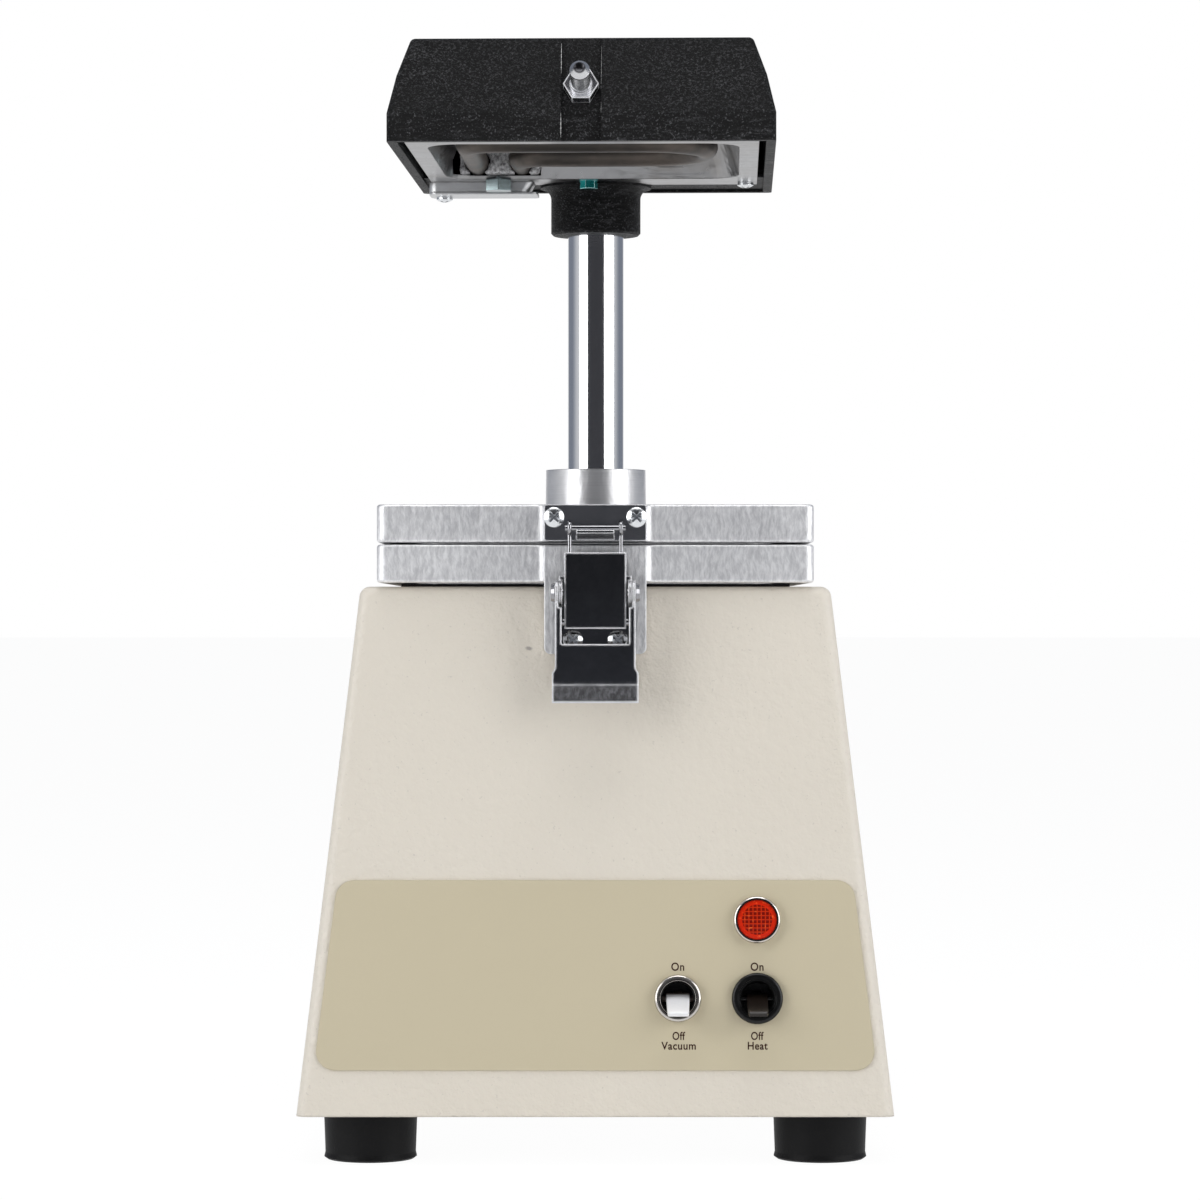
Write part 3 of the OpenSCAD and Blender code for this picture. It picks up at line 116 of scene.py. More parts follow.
# %% A tree of nodes
class Tree:
    """The node graph of one finish."""

    def __init__(self, owner):
        owner.use_nodes = True
        self.nodes, self.links = owner.node_tree.nodes, owner.node_tree.links
        self.nodes.clear()

    def add(self, kind, settings=None, sockets=None, output=0):
        """Any node: its settings, the values or wires of its sockets, and the output wanted."""
        node = self.nodes.new(kind)
        for name, value in (settings or {}).items():
            setattr(node, name, value)
        for name, value in (sockets or {}).items():
            if isinstance(value, Wire):
                self.links.new(value.socket, node.inputs[name])
            elif value is not None:
                node.inputs[name].default_value = value
        return Wire(self, node.outputs[output])

    def place(self):
        """The piece's own coordinates, in metres."""
        return self.add("ShaderNodeTexCoord", output="Object")

    def vector(self, operation, a, b, output="Vector"):
        return self.add("ShaderNodeVectorMath", {"operation": operation}, {0: a, 1: b}, output)

    def split(self, vector):
        node = self.add("ShaderNodeSeparateXYZ", None, {0: vector}).socket.node
        return [Wire(self, socket) for socket in node.outputs]

    def noise(self, where, scale, detail=2.0, rough=0.5, stretch=None, twist=0.0):
        """Noise at a scale in lumps per metre, stretched along an axis if asked."""
        if stretch:
            where = self.vector("MULTIPLY", where, stretch)
        return self.add("ShaderNodeTexNoise", None, {"Vector": where, "Scale": scale, "Detail": detail,
                                                     "Roughness": rough, "Distortion": twist})

    def blend(self, mask, a, b):
        """Colour a where the mask is 0, b where it is 1."""
        def full(c): return (*c, 1) if isinstance(c, tuple) else c
        return self.add("ShaderNodeMix", {"data_type": "RGBA"}, {0: mask, 6: full(a), 7: full(b)}, 2)

    def bump(self, height, distance, strength=1.0, normal=None):
        return self.add("ShaderNodeBump", None, {"Height": height, "Distance": distance,
                                                 "Strength": strength, "Normal": normal})

    def edge(self, radius):
        """A normal that rounds every sharp edge by this radius."""
        return self.add("ShaderNodeBevel", {"samples": 6}, {"Radius": radius})

    def painted_highlight(self, radius):
        """1 along sharp edges, 0 on faces: how far the rounded normal leans from the true one; the mask of
        painted edge highlights.
        """
        flat = self.add("ShaderNodeNewGeometry", output="Normal")
        return (1 - self.vector("DOT_PRODUCT", self.edge(radius), flat, "Value")).fade(0.003, 0.035)

    def ray(self, kind):
        """1 for one kind of light ray."""
        return self.add("ShaderNodeLightPath", output=kind)

    def close(self, shader, kind="ShaderNodeOutputMaterial"):
        self.links.new(shader.socket, self.nodes.new(kind).inputs[0])


print("shared nodes:", ", ".join(name for name in vars(Tree) if not name.startswith("_")))

# %% [markdown]
# ## Finishes and who wears them
# A finish is one Principled shader. What changes over a surface comes from a small function
# that is given the tree, and what is the same everywhere goes straight on the shader's own
# sockets, where it costs nothing. Two helpers make a finish and hang it on CAD nodes.

# %% Make a finish and wear it
def finish(name, build, **constants):
    """A material: build(tree) returns what varies, and constants go on the shader's sockets."""
    material = bpy.data.materials.new(name)
    tree = Tree(material)
    sockets = {key.replace("_", " ").title().replace("Ior", "IOR"): value for key, value in constants.items()}
    sockets.update(build(tree))
    tree.close(tree.add("ShaderNodeBsdfPrincipled", None, sockets))
    return material


def wear(material, *nodes):
    """Gives CAD nodes a finish."""
    for node in nodes:
        cad[node].data.materials.clear()
        cad[node].data.materials.append(material)
    print(material.name, "on", ", ".join(nodes))


# %% [markdown]
# ## The floor
# The machine stands on a white sheet. The sheet glows white for the camera, for glass and
# for bright metal, but it lights nothing matt, so it still takes the object's shadow. Some
# way in front of the machine the table ends, so metal that leans forward reflects darkness.

# %% Floor
FLOOR_REACH = 40
FLOOR_GLOW, GLOW_SHARE, SHINE_SHARE = 1.035, 0.93, 0.75
TABLE_END, TABLE_FULL = -0.7, -0.35


def stage_floor():
    r = FLOOR_REACH
    mesh = bpy.data.meshes.new("floor")
    mesh.from_pydata([(-r, -r, 0), (r, -r, 0), (r, r, 0), (-r, r, 0)], [], [(0, 1, 2, 3)])
    floor = bpy.data.objects.new("floor", mesh)
    bpy.context.scene.collection.objects.link(floor)
    material = bpy.data.materials.new("white floor")
    tree = Tree(material)
    seen, through = tree.ray("Is Camera Ray"), tree.ray("Is Transmission Ray")
    matt = tree.add("ShaderNodeBsdfDiffuse", None, {"Color": (0.9, 0.9, 0.9, 1)})
    glow = tree.add("ShaderNodeEmission", None, {"Color": (1, 1, 1, 1), "Strength": FLOOR_GLOW})
    table = tree.split(tree.place())[1].fade(TABLE_END, TABLE_FULL)
    shiny = tree.ray("Is Glossy Ray") * table * SHINE_SHARE
    share = (seen + through).smaller(1.0) * GLOW_SHARE + shiny
    tree.close(tree.add("ShaderNodeMixShader", None, {0: share.smaller(GLOW_SHARE), 1: matt, 2: glow}))
    mesh.materials.append(material)
    return floor


print("floor of", 2 * FLOOR_REACH, "m, faces:", len(stage_floor().data.polygons))

# %% [markdown]
# ## The room around it
# The camera and glass see plain white behind the machine, and so does metal that points
# straight back. The rest of what metal sees is a dim room: dark behind the camera, grey-blue
# at the sides, with a soft haze where each lamp's light spills past its edge. The chromed
# post shows exactly that: grey edges, two bright bands that fade out, and a black core.

# %% Room
ROOM_FRONT, ROOM_SIDES = (0.045, 0.045, 0.05), (0.205, 0.225, 0.27)
HAZE = 0.6
# how far a ray points to the back: -1 is the camera's side, 1 is straight behind
HAZE_RISE, HAZE_FALL = (-0.55, -0.40), (-0.35, 0.45)
STRAIGHT_BACK, ROOM_TURN = (0.82, 1.0), (-0.75, 0.1)


def studio_world():
    world = bpy.data.worlds.new("studio")
    bpy.context.scene.world = world
    tree = Tree(world)
    seen, through = tree.ray("Is Camera Ray"), tree.ray("Is Transmission Ray")
    back = tree.split(tree.add("ShaderNodeTexCoord", output="Generated"))[1]
    haze = back.fade(*HAZE_RISE) * back.fade(*HAZE_FALL, HAZE, 0.0)
    shiny = tree.ray("Is Glossy Ray") * (back.fade(*STRAIGHT_BACK) + haze)
    room = tree.blend(back.fade(*ROOM_TURN), ROOM_FRONT, ROOM_SIDES)
    dim = tree.add("ShaderNodeBackground", None, {"Color": room, "Strength": 1.0})
    white = tree.add("ShaderNodeBackground", None, {"Color": (1, 1, 1, 1), "Strength": 1.0})
    share = (seen + through + shiny).smaller(1.0)
    tree.close(tree.add("ShaderNodeMixShader", None, {0: share, 1: dim, 2: white}), "ShaderNodeOutputWorld")
    return world


print("room:", studio_world().name)

# %% [markdown]
# ## Three soft boxes
# Two tall soft boxes stand left and right in front and one hangs above. Large lamps close by
# give soft shadows, and their width sets the width of the bright bands in the chrome.

# %% Lamps
AIM = (0, 0, 0.2)


def soft_box(name, place, size, watts):
    lamp = bpy.data.lights.new(name, "AREA")
    lamp.shape, lamp.size, lamp.size_y, lamp.energy = "RECTANGLE", size[0], size[1], watts
    holder = bpy.data.objects.new(name, lamp)
    bpy.context.scene.collection.objects.link(holder)
    holder.location = place
    holder.rotation_euler = (Vector(AIM) - Vector(place)).to_track_quat("-Z", "Y").to_euler()
    print(name, "of", watts, "W at", [round(v, 2) for v in place])


def beside(azimuth, distance, height):
    """A place around the object: azimuth 0 is straight in front."""
    a = math.radians(azimuth)
    return (math.sin(a) * distance, -math.cos(a) * distance, height)


soft_box("left box", beside(-54, 1.7, 0.5), (1.12, 1.7), 18.5)
soft_box("right box", beside(59, 1.7, 0.5), (1.42, 1.7), 20)
soft_box("top box", (0, -0.25, 1.7), (1.3, 1.1), 12)

# %% [markdown]
# ## Beige orange-peel paint
# The housing is steel under a thick sprayed coat. Such paint flows into shallow dimples two
# to three millimetres apart, so the finish is two noises in a bump, a slight gloss, and a
# faint change of tone over the large faces. A small chip near the latch shows the primer.

# %% Housing paint
CHIP = (-21.2 * MM, -93.2 * MM, 163.4 * MM)
CHIP_SQUEEZE = 0.8
PAINT_DARK, PAINT_LIGHT, PRIMER = (0.765, 0.708, 0.614), (0.808, 0.752, 0.656), (0.42, 0.385, 0.35)


def orange_peel(tree):
    where = tree.place()
    dimples = tree.noise(where, 380, 2, 0.55) + tree.noise(where, 1300, 1, 0.5) * 0.25
    tone = tree.noise(where, 14, 2, 0.5)
    specks = tree.noise(where, 950, 1, 0.5).fade(0.70, 0.78) * 0.25
    squeezed = tree.vector("MULTIPLY", where, (CHIP_SQUEEZE, 1, 1))
    away = tree.vector("DISTANCE", squeezed, (CHIP[0] * CHIP_SQUEEZE, CHIP[1], CHIP[2]), "Value")
    chip = (away + tree.noise(where, 900, 2) * 0.0016).fade(0.0012, 0.0018, 1.0, 0.0)
    paint = tree.blend(tone, PAINT_DARK, PAINT_LIGHT)
    return {"Base Color": tree.blend((specks + chip).smaller(1.0), paint, PRIMER),
            "Roughness": 0.38 + tone * 0.08,
            "Normal": tree.bump(dimples, 0.0013, 0.38, tree.edge(0.0012))}


housing_paint = finish("housing paint", orange_peel, coat_weight=0.12, coat_roughness=0.25,
                       specular_ior_level=0.35)
wear(housing_paint, "base_housing")

# %% [markdown]
# ## Black crackle on the casting
# The heater head is coated with wrinkle paint, which shrinks into worm-like ridges as it is
# baked. A twisted noise gives ridges under a millimetre wide and a finer one their grain. On
# the upright skirt the paint sagged before it dried, so its wrinkles lie flat there. The tops
# of the ridges and scattered specks are painted lighter, a painted highlight on a nearly black ground.

# %% Crackle paint
SKIRT_TOP = 336.4 * MM
# the lighter colour is a painted highlight for ridge tops and glints
CRACKLE_DEEP, CRACKLE_GLINT = (0.0016, 0.0016, 0.0019), (0.135, 0.137, 0.144)


def crackle(tree):
    where = tree.place()
    z = tree.split(where)[2]
    skirt = z.fade(SKIRT_TOP - 0.001, SKIRT_TOP + 0.001, 1.0, 0.0)
    ridges = tree.noise(where, 1250, 3, 0.62, (0.85, 0.85, 1.25), 0.9)
    grain = tree.noise(where, 2900, 2, 0.6)
    sagged = tree.noise(where, 620, 3, 0.6, (0.28, 0.6, 1.5), 0.5) * skirt * 0.4
    wrinkles = ridges * (0.7 - skirt * 0.4) + sagged + grain * 0.3
    broad = tree.noise(where, 24, 3, 0.6, (0.6, 1, 1.6)).fade(0.3, 0.75)
    # Painted highlight: lighter ridge tops and bright specks, stronger on the skirt, stand in for glints.
    glint = tree.noise(where, 1500, 2, 0.6).fade(0.58, 0.70) * (0.6 + skirt * 0.4)
    painted_highlight = wrinkles.fade(0.50, 0.62) * (broad * 0.34 + 0.16) + glint * 0.6
    return {"Base Color": tree.blend(painted_highlight, CRACKLE_DEEP, CRACKLE_GLINT), "Roughness": 0.5 - painted_highlight * 0.2,
            "Normal": tree.bump(wrinkles, 0.0022, 0.9, tree.edge(0.0006))}


crackle_paint = finish("black crackle", crackle, specular_ior_level=0.17)
wear(crackle_paint, "heater_hood")

# %% [markdown]
# ## Bright metals
# Chrome, zinc and steel differ in tint and in how far they blur a reflection. One function
# makes them all, with fine scratches in the roughness so that none is a perfect mirror, and
# with rounded edges, because an edge that catches the light is what makes sheet look real.

# %% Plated metals
def plated(tint, rough, grain=900, stretch=(1, 1, 1), depth=0.00002, round_edge=0.0002, stain=0.12):
    """Bright metal: tint, blur, scratches along an axis, rounded edges, and stains in its tint."""
    def build(tree):
        where = tree.place()
        fine = tree.noise(where, grain, 3, 0.6, stretch)
        cloud = tree.noise(where, 130, 3, 0.6)
        shade = fine * 0.5 + cloud * 0.5
        return {"Base Color": tree.blend(shade, tuple(c * (1 - stain) for c in tint), tint),
                "Roughness": rough * 0.75 + shade * rough * 0.5,
                "Normal": tree.bump(fine, depth, 0.5, tree.edge(round_edge))}
    return build


chrome = finish("chrome", plated((0.86, 0.87, 0.89), 0.10, 500, (1, 1, 0.1), stain=0.06), metallic=1.0)
bezel_nickel = finish("bezel nickel", plated((0.66, 0.62, 0.58), 0.14), metallic=1.0)
zinc = finish("bright zinc", plated((0.80, 0.82, 0.84), 0.2), metallic=1.0)
wire_steel = finish("wire steel", plated((0.36, 0.36, 0.375), 0.06), metallic=1.0)
steel_sheet = finish("steel sheet", plated((0.52, 0.52, 0.525), 0.34, 260, (1, 1, 4), stain=0.3),
                     metallic=1.0)
cover_sheet = finish("cover sheet", plated((0.74, 0.745, 0.75), 0.42, 340, (1, 1, 2), 0.00006, 0.0006, 0.25),
                     metallic=1.0)
dark_steel = finish("dark steel", plated((0.13, 0.13, 0.135), 0.3, 700), metallic=1.0)
bronze = finish("bearing bronze", plated((0.62, 0.43, 0.20), 0.35), metallic=1.0)
print("bright metals, of", len(bpy.data.materials), "materials so far")

# %% [markdown]
# ## Where each metal goes
# Bought fasteners are zinc plated, the latch's wires and pins are polished steel, and what is
# pressed from sheet keeps the grain of its rolling. The bush that slides on the post and the
# washer on top of it are bearing bronze.

# %% Metals on the nodes
wear(chrome, "post")
wear(bezel_nickel, "lamp_holder")
wear(zinc, "foot_screws", "panel_nuts", "plate_screws", "motor_studs", "post_screws", "friction_spring",
     "hinge_pin", "latch_screws", "strike_screws", "cover_screws", "handle_stud", "shaft_bearings")
wear(wire_steel, "link_pin", "bail_wires", "cross_pin", "pivot_rivets")
wear(steel_sheet, "bottom_plate", "plenum", "fan_housing", "motor_clamp", "post_flange")
wear(cover_sheet, "terminal_cover")
wear(dark_steel, "motor_can", "motor_shaft", "friction_screw")
wear(bronze, "carriage_bush", "thrust_washer")

# %% [markdown]
# ## The blackened latch
# The latch's steel is blackened and polished. Its edges are painted near-white, a painted
# highlight that draws the latch in thin white lines. A Bevel node's normal leans away from the
# true normal only near an edge, so the difference of the two is a mask for that painted highlight.
# The lever's bent tab, under the fingers, is worn to a duller grey. The nut on the handle's stud
# shares this finish in a lighter tint.

# %% Latch steel
TAB_TOP = 152.6 * MM
EDGE_HIGHLIGHT, WORN_STEEL = (0.93, 0.93, 0.95), (0.5, 0.5, 0.53)


def blackened(face, rough, radius, tab=0.0):
    """Dark steel with painted highlights along edges of this radius; tab is how worn it is below the lever's
    bend.
    """
    def build(tree):
        where = tree.place()
        z = tree.split(where)[2]
        fine = tree.noise(where, 800, 3, 0.6, (1, 1, 0.3))
        cloud = tree.noise(where, 120, 3, 0.6)
        # Painted highlight: near-white, less metallic edges stand in for light caught on rounded edges.
        edge_highlight = tree.painted_highlight(radius) * cloud.fade(0.3, 0.55, 0.7, 1.0)
        brushed = z.fade(TAB_TOP - 0.0006, TAB_TOP + 0.0006, tab, 0.0)
        dark = tree.blend(cloud, (face * 0.75, face * 0.75, face * 0.78), (face * 1.2, face * 1.2, face * 1.25))
        worn = tree.blend(brushed * fine.fade(0.35, 0.65) * 0.38, dark, WORN_STEEL)
        return {"Base Color": tree.blend(edge_highlight, worn, EDGE_HIGHLIGHT), "Metallic": 1 - edge_highlight * 0.6,
                "Roughness": rough + fine * 0.04 + edge_highlight * 0.28 + brushed * 0.12,
                "Normal": tree.bump(fine, 0.00002, 0.4, tree.edge(radius * 0.7))}
    return build


wear(finish("lever steel", blackened(0.15, 0.10, 0.0012, 1.0)), "latch_base", "latch_lever")
wear(finish("link steel", blackened(0.15, 0.11, 0.0011)), "link_plate")
wear(finish("strike steel", blackened(0.34, 0.2, 0.0006)), "strike_plate")
wear(finish("nut zinc", blackened(0.66, 0.2, 0.0008)), "stud_nut")

# %% [markdown]
# ## Green zinc on two hexagons
# The hex screw before the collar has a green passivated coat, with painted highlights in pale
# cyan along its edges. The hexagon at the terminal cover gets a muted grey-green instead, a
# painted reflection that imitates a nut seen blurred in the cover's brushed face, so the colour
# depends on which side of the head it is.

# %% Hexagons
# painted reflection: where x is below this, the hexagon is a muted grey-green
MUTED_REFLECTION_SIDE = (-20 * MM, -10 * MM)


def passivated(tree):
    where = tree.place()
    x = tree.split(where)[0]
    fine = tree.noise(where, 900, 3, 0.6)
    # Painted reflection: the terminal cover's hexagon is muted to read as a blurred reflection.
    muted_reflection = x.fade(*MUTED_REFLECTION_SIDE, 1.0, 0.0)
    green = tree.blend(fine, (0.02, 0.42, 0.42), (0.05, 0.72, 0.70))
    # Painted highlight: pale cyan along the edges.
    bright = tree.blend(tree.painted_highlight(0.0005), green, (0.55, 0.9, 0.9))
    return {"Base Color": tree.blend(muted_reflection, bright, (0.27, 0.33, 0.34)), "Roughness": 0.16 + fine * 0.12,
            "Normal": tree.bump(fine, 0.00003, 0.5, tree.edge(0.0004))}


wear(finish("green zinc", passivated, metallic=1.0), "hex_screws")

# %% [markdown]
# ## The pressed reflector
# The pan behind the element is thin bare steel. Pressing leaves soft creases, and heat has
# clouded it brown around the element, so its colour wanders between grey and tan and its
# bump is long and shallow.

# %% Reflector steel
def creased(tree):
    where = tree.place()
    creases = tree.noise(where, 34, 3, 0.5, (1, 1.6, 2.0), 0.7)
    fine = tree.noise(where, 700, 2)
    heat = tree.noise(where, 26, 4, 0.6).fade(0.4, 0.75)
    pressed = tree.bump(fine, 0.00004, 0.5, tree.edge(0.0005))
    return {"Base Color": tree.blend(heat, (0.34, 0.34, 0.345), (0.22, 0.206, 0.19)),
            "Roughness": 0.24 + fine * 0.12, "Normal": tree.bump(creases, 0.006, 0.26, pressed)}


wear(finish("reflector steel", creased, metallic=1.0), "reflector")

# %% [markdown]
# ## Ground aluminium
# The clamping frames are castings whose faces were linished: fine upright strokes on the
# front, in patches of different shine. Noise stretched along z makes the strokes, and a
# coarse noise moves their tone. Faces that look up were left as cast, duller and darker, and
# the boss round the post was turned, so rings run round it.

# %% Aluminium
BOSS_FOOT = 209.2 * MM


def linished(tree):
    where = tree.place()
    x, y, z = tree.split(where)
    bend = tree.noise(where, 110, 2) * 0.003
    bent = tree.add("ShaderNodeCombineXYZ", None, {0: x + bend, 1: y, 2: z})
    strokes = tree.noise(bent, 820, 3, 0.7, (1, 1, 0.3))
    patches = tree.noise(where, 60, 4, 0.6, (1, 1, 0.6), 0.5)
    rings = tree.noise(where, 1700, 2, 0.6, (0.04, 0.04, 1))
    turned = z.fade(BOSS_FOOT, BOSS_FOOT + 0.0004)
    cast = tree.split(tree.add("ShaderNodeTexCoord", output="Normal"))[2].fade(0.85, 0.97) * (1 - turned)
    shade = patches.fade(0.3, 0.7) * 0.4 + strokes.fade(0.3, 0.7) * 0.6
    ground = tree.blend(shade, (0.60, 0.60, 0.615), (0.98, 0.98, 0.985))
    colour = tree.blend(turned, ground, tree.blend(rings, (0.64, 0.64, 0.65), (0.78, 0.78, 0.79)))
    as_cast = tree.blend(patches, (0.36, 0.36, 0.365), (0.56, 0.56, 0.565))
    rough = 0.36 + strokes * 0.22 + cast * 0.14
    relief = strokes * (1 - turned) + rings * turned * 0.12
    return {"Base Color": tree.blend(cast, colour, as_cast),
            "Roughness": rough + turned * (0.27 + rings * 0.12 - rough),
            "Normal": tree.bump(relief, 0.00024, 0.7, tree.bump(patches, 0.0014, 0.3, tree.edge(0.0007)))}


aluminium = finish("linished aluminium", linished, metallic=0.8, specular_ior_level=0.5)
wear(aluminium, "lower_frame", "upper_frame", "vacuum_plate", "fan_wheel")

# %% [markdown]
# ## Rubber, plastics and the panel's film
# Dull and glossy plastics share one builder: a colour with slight mottling and a shallow
# grain in the bump. Dark ones get little specular, or a white room would turn them grey. The
# blocks that a finer piece replaces further on are dressed too, so no CAD node stays bare.

# %% Plastics
def moulded(tint, rough, grain=1500, depth=0.00003, spread=0.1, cloud=60):
    """Plastic or film: tint, blur, grain per metre and its depth, and the mottling's strength and scale."""
    def build(tree):
        where = tree.place()
        fine = tree.noise(where, grain, 2, 0.6)
        mottle = fine * 0.5 + tree.noise(where, cloud, 2) * 0.5
        low, high = (tuple(c * share for c in tint) for share in (1 - spread, 1 + spread))
        return {"Base Color": tree.blend(mottle, low, high), "Roughness": rough - 0.05 + fine * 0.1,
                "Normal": tree.bump(fine, depth, 0.6, tree.edge(0.0003))}
    return build


rubber = finish("black rubber", moulded((0.0085, 0.0085, 0.009), 0.5, 1200, 0.0001), specular_ior_level=0.12)
black_plastic = finish("black plastic", moulded((0.006, 0.006, 0.006), 0.24), specular_ior_level=0.3)
white_plastic = finish("white plastic", moulded((0.93, 0.93, 0.94), 0.3, spread=0.03))
brown_black = finish("switch black", moulded((0.014, 0.009, 0.007), 0.14), specular_ior_level=0.4)
film = finish("panel film", moulded((0.615, 0.548, 0.392), 0.42, 2500, 0.00002, 0.035, 22),
              specular_ior_level=0.35)
wear(rubber, "rubber_feet", "base_gasket", "motor_gasket", "sheet_gasket", "cord_gland", "lamp_lens")
wear(black_plastic, "heat_bezel", "switch_bodies")
wear(white_plastic, "vacuum_paddle", "friction_pad")
wear(brown_black, "heat_paddle")
wear(film, "control_panel")
wear(finish("cream block", moulded((0.78, 0.74, 0.64), 0.35)), "terminal_block")
wear(finish("red lead", moulded((0.42, 0.04, 0.02), 0.4)), "wiring")

# %% [markdown]
# ## The heating element
# The element's steel tube has gone brown from heat, in stains that run across the pan. A noise
# drawn out along x makes them, and a fine grain in the bump takes the tube's shine away. A
# painted mask would do too, but a noise needs no map and fits every bend of the tube.

# %% Element
def heated(tree):
    where = tree.place()
    stain = tree.noise(where, 90, 3, 0.6, (0.4, 1, 1))
    return {"Base Color": tree.blend(stain.fade(0.35, 0.7), (0.052, 0.046, 0.041), (0.13, 0.108, 0.092)),
            "Roughness": 0.36 + stain * 0.2, "Normal": tree.bump(tree.noise(where, 1500, 2), 0.00006, 0.6)}


wear(finish("heated tube", heated, metallic=0.5, specular_ior_level=0.35), "heating_element")

# %% [markdown]
# ## Places shared with the CAD
# The new pieces sit on CAD faces, so they use the same few sizes: the front's slope, and
# where the lamp and the switches are on it. `on_front` turns a flat drawing, x across and y
# up the slope, onto that face.

# %% Places on the front
BASE_D, TOP_D, BASE_H, FOOT_H = 220 * MM, 182 * MM, 167.4 * MM, 15.6 * MM
LEAN = math.atan((BASE_D - TOP_D) / 2 / BASE_H)
PANEL_T = 0.5 * MM
VACUUM_X, HEAT_X, SWITCH_UP, LAMP_UP = 26.1 * MM, 51.2 * MM, 37.2 * MM, 62 * MM
on_front = Matrix.Translation((0, -BASE_D / 2, FOOT_H)) @ Matrix.Rotation(math.radians(90) - LEAN, 4, "X")
print("the front leans", round(math.degrees(LEAN), 2), "degrees")

# %% [markdown]
# ## From corners to a piece
# Every new piece is built corner by corner in a bmesh. Rings of corners are bridged into a
# skin, and a lathe is only a stack of round rings. The last helper turns the bmesh into an
# object that rides on one of the moving bodies, so that it follows every joint.

# %% Rings, lathe and pieces
def ring_of(bm, radius, height, steps):
    turns = (2 * math.pi * i / steps for i in range(steps))
    return [bm.verts.new((radius * math.cos(a), radius * math.sin(a), height)) for a in turns]


def bridge(bm, rings):
    """Faces between each ring of corners and the next."""
    for low, high in zip(rings, rings[1:]):
        for i in range(len(low)):
            j = (i + 1) % len(low)
            bm.faces.new((low[i], low[j], high[j], high[i]))


def cap(bm, rings):
    """Closes the first and the last ring."""
    bm.faces.new(rings[0][::-1])
    bm.faces.new(rings[-1])


def lathe(bm, profile, steps=64):
    """Spins a profile of (radius, height) about z."""
    bridge(bm, [ring_of(bm, radius, height, steps) for radius, height in profile])


def add_piece(name, bm, material, body, place=Matrix(), smooth=None):
    """Turns a bmesh into a piece that rides on a body."""
    mesh = bpy.data.meshes.new(name)
    bmesh.ops.recalc_face_normals(bm, faces=bm.faces)
    bm.to_mesh(mesh)
    bm.free()
    if smooth is not None:
        mesh.shade_smooth()
        mesh.set_sharp_from_angle(angle=math.radians(smooth))
    mesh.materials.append(material)
    piece = bpy.data.objects.new(name, mesh)
    bpy.context.scene.collection.objects.link(piece)
    piece.matrix_world = place
    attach(piece, body)
    print(name, "has", len(mesh.polygons), "faces")
    return piece


# %% [markdown]
# ## Printed words on the panel
# Only the plain words that tell what the switches do are printed here. On the real film they
# are screen-printed in brown ink, so each word is a text outline turned into a very thin
# plate that lies on the overlay, stretched to the width and height that it has on the film.

# %% Words
INK_T = 0.03 * MM
ON_UP, OFF_UP, NAME_UP = 47.3 * MM, 25.5 * MM, 22.4 * MM
WORDS = (("word_vacuum_on", "On", VACUUM_X, ON_UP, 4.1 * MM, 2.55 * MM),
         ("word_heat_on", "On", HEAT_X, ON_UP, 4.1 * MM, 2.55 * MM),
         ("word_vacuum_off", "Off", VACUUM_X + 0.3 * MM, OFF_UP, 4.0 * MM, 2.5 * MM),
         ("word_heat_off", "Off", HEAT_X, OFF_UP, 4.0 * MM, 2.5 * MM),
         ("word_vacuum", "Vacuum", VACUUM_X + 0.2 * MM, NAME_UP, 10.9 * MM, 2.4 * MM),
         ("word_heat", "Heat", HEAT_X + 0.1 * MM, NAME_UP, 6.3 * MM, 2.4 * MM))
ink = finish("brown ink", moulded((0.046, 0.016, 0.011), 0.45), specular_ior_level=0.15)


def print_word(name, word, x, up, wide, tall):
    text = bpy.data.curves.new(name, "FONT")
    text.body, text.extrude, text.offset, text.space_character = word, 0.02, 0.018, 1.08
    holder = bpy.data.objects.new(name + "_outline", text)
    bpy.context.scene.collection.objects.link(holder)
    mesh = bpy.data.meshes.new_from_object(holder)
    bpy.data.objects.remove(holder)
    bm = bmesh.new()
    bm.from_mesh(mesh)
    left, right = min(v.co.x for v in bm.verts), max(v.co.x for v in bm.verts)
    high = max(v.co.y for v in bm.verts)
    for v in bm.verts:
        v.co.x = x + ((v.co.x - left) / (right - left) - 0.5) * wide
        v.co.y = up + (v.co.y / high - 0.5) * tall
        v.co.z = PANEL_T + (INK_T if v.co.z > 0 else 0.0)
    add_piece(name, bm, ink, "base", on_front)


for row in WORDS:
    print_word(*row)

# %% [markdown]
# ## The shape of a switch paddle
# A moulded paddle is a little narrower at its free end and has no sharp edge. It is a lofted
# bar with rounded corners, whose stations say how full the bar is along its length. Behind
# the pivot pin a short tail tips the contacts.

# %% Paddle shape
PADDLE_L, PADDLE_T, PADDLE_RISE, PIVOT_R, CORNER = (v * MM for v in (14.5, 1.7, 0.4, 1.0, 0.35))
TIP_LOSS = 1.6 * MM
TAIL_W, TAIL_HALF_T, TAIL_CORNER = 3 * MM, 1 * MM, 0.3 * MM
TAIL_ENDS, PIVOT_ENDS, PIVOT_STEPS, CORNER_STEPS = (-4, 1), (-5.3, -5.1, 5.1, 5.3), 24, 4
STATIONS = ((0, 1.0), (0.15, 1.0), (0.6, 1.0), (0.9, 1.0), (0.97, 0.9), (1.0, 0.62))


def rounded_loop(bm, wide, low, high, corner, z):
    """A ring of corners round a bar's section: width along x, thickness along y."""
    ring = []
    for cx, cy, start in ((wide / 2 - corner, high - corner, 0), (-wide / 2 + corner, high - corner, 90),
                          (-wide / 2 + corner, low + corner, 180), (wide / 2 - corner, low + corner, 270)):
        for k in range(CORNER_STEPS + 1):
            a = math.radians(start + k * 90 / CORNER_STEPS)
            ring.append(bm.verts.new((cx + corner * math.cos(a), cy + corner * math.sin(a), z)))
    return ring


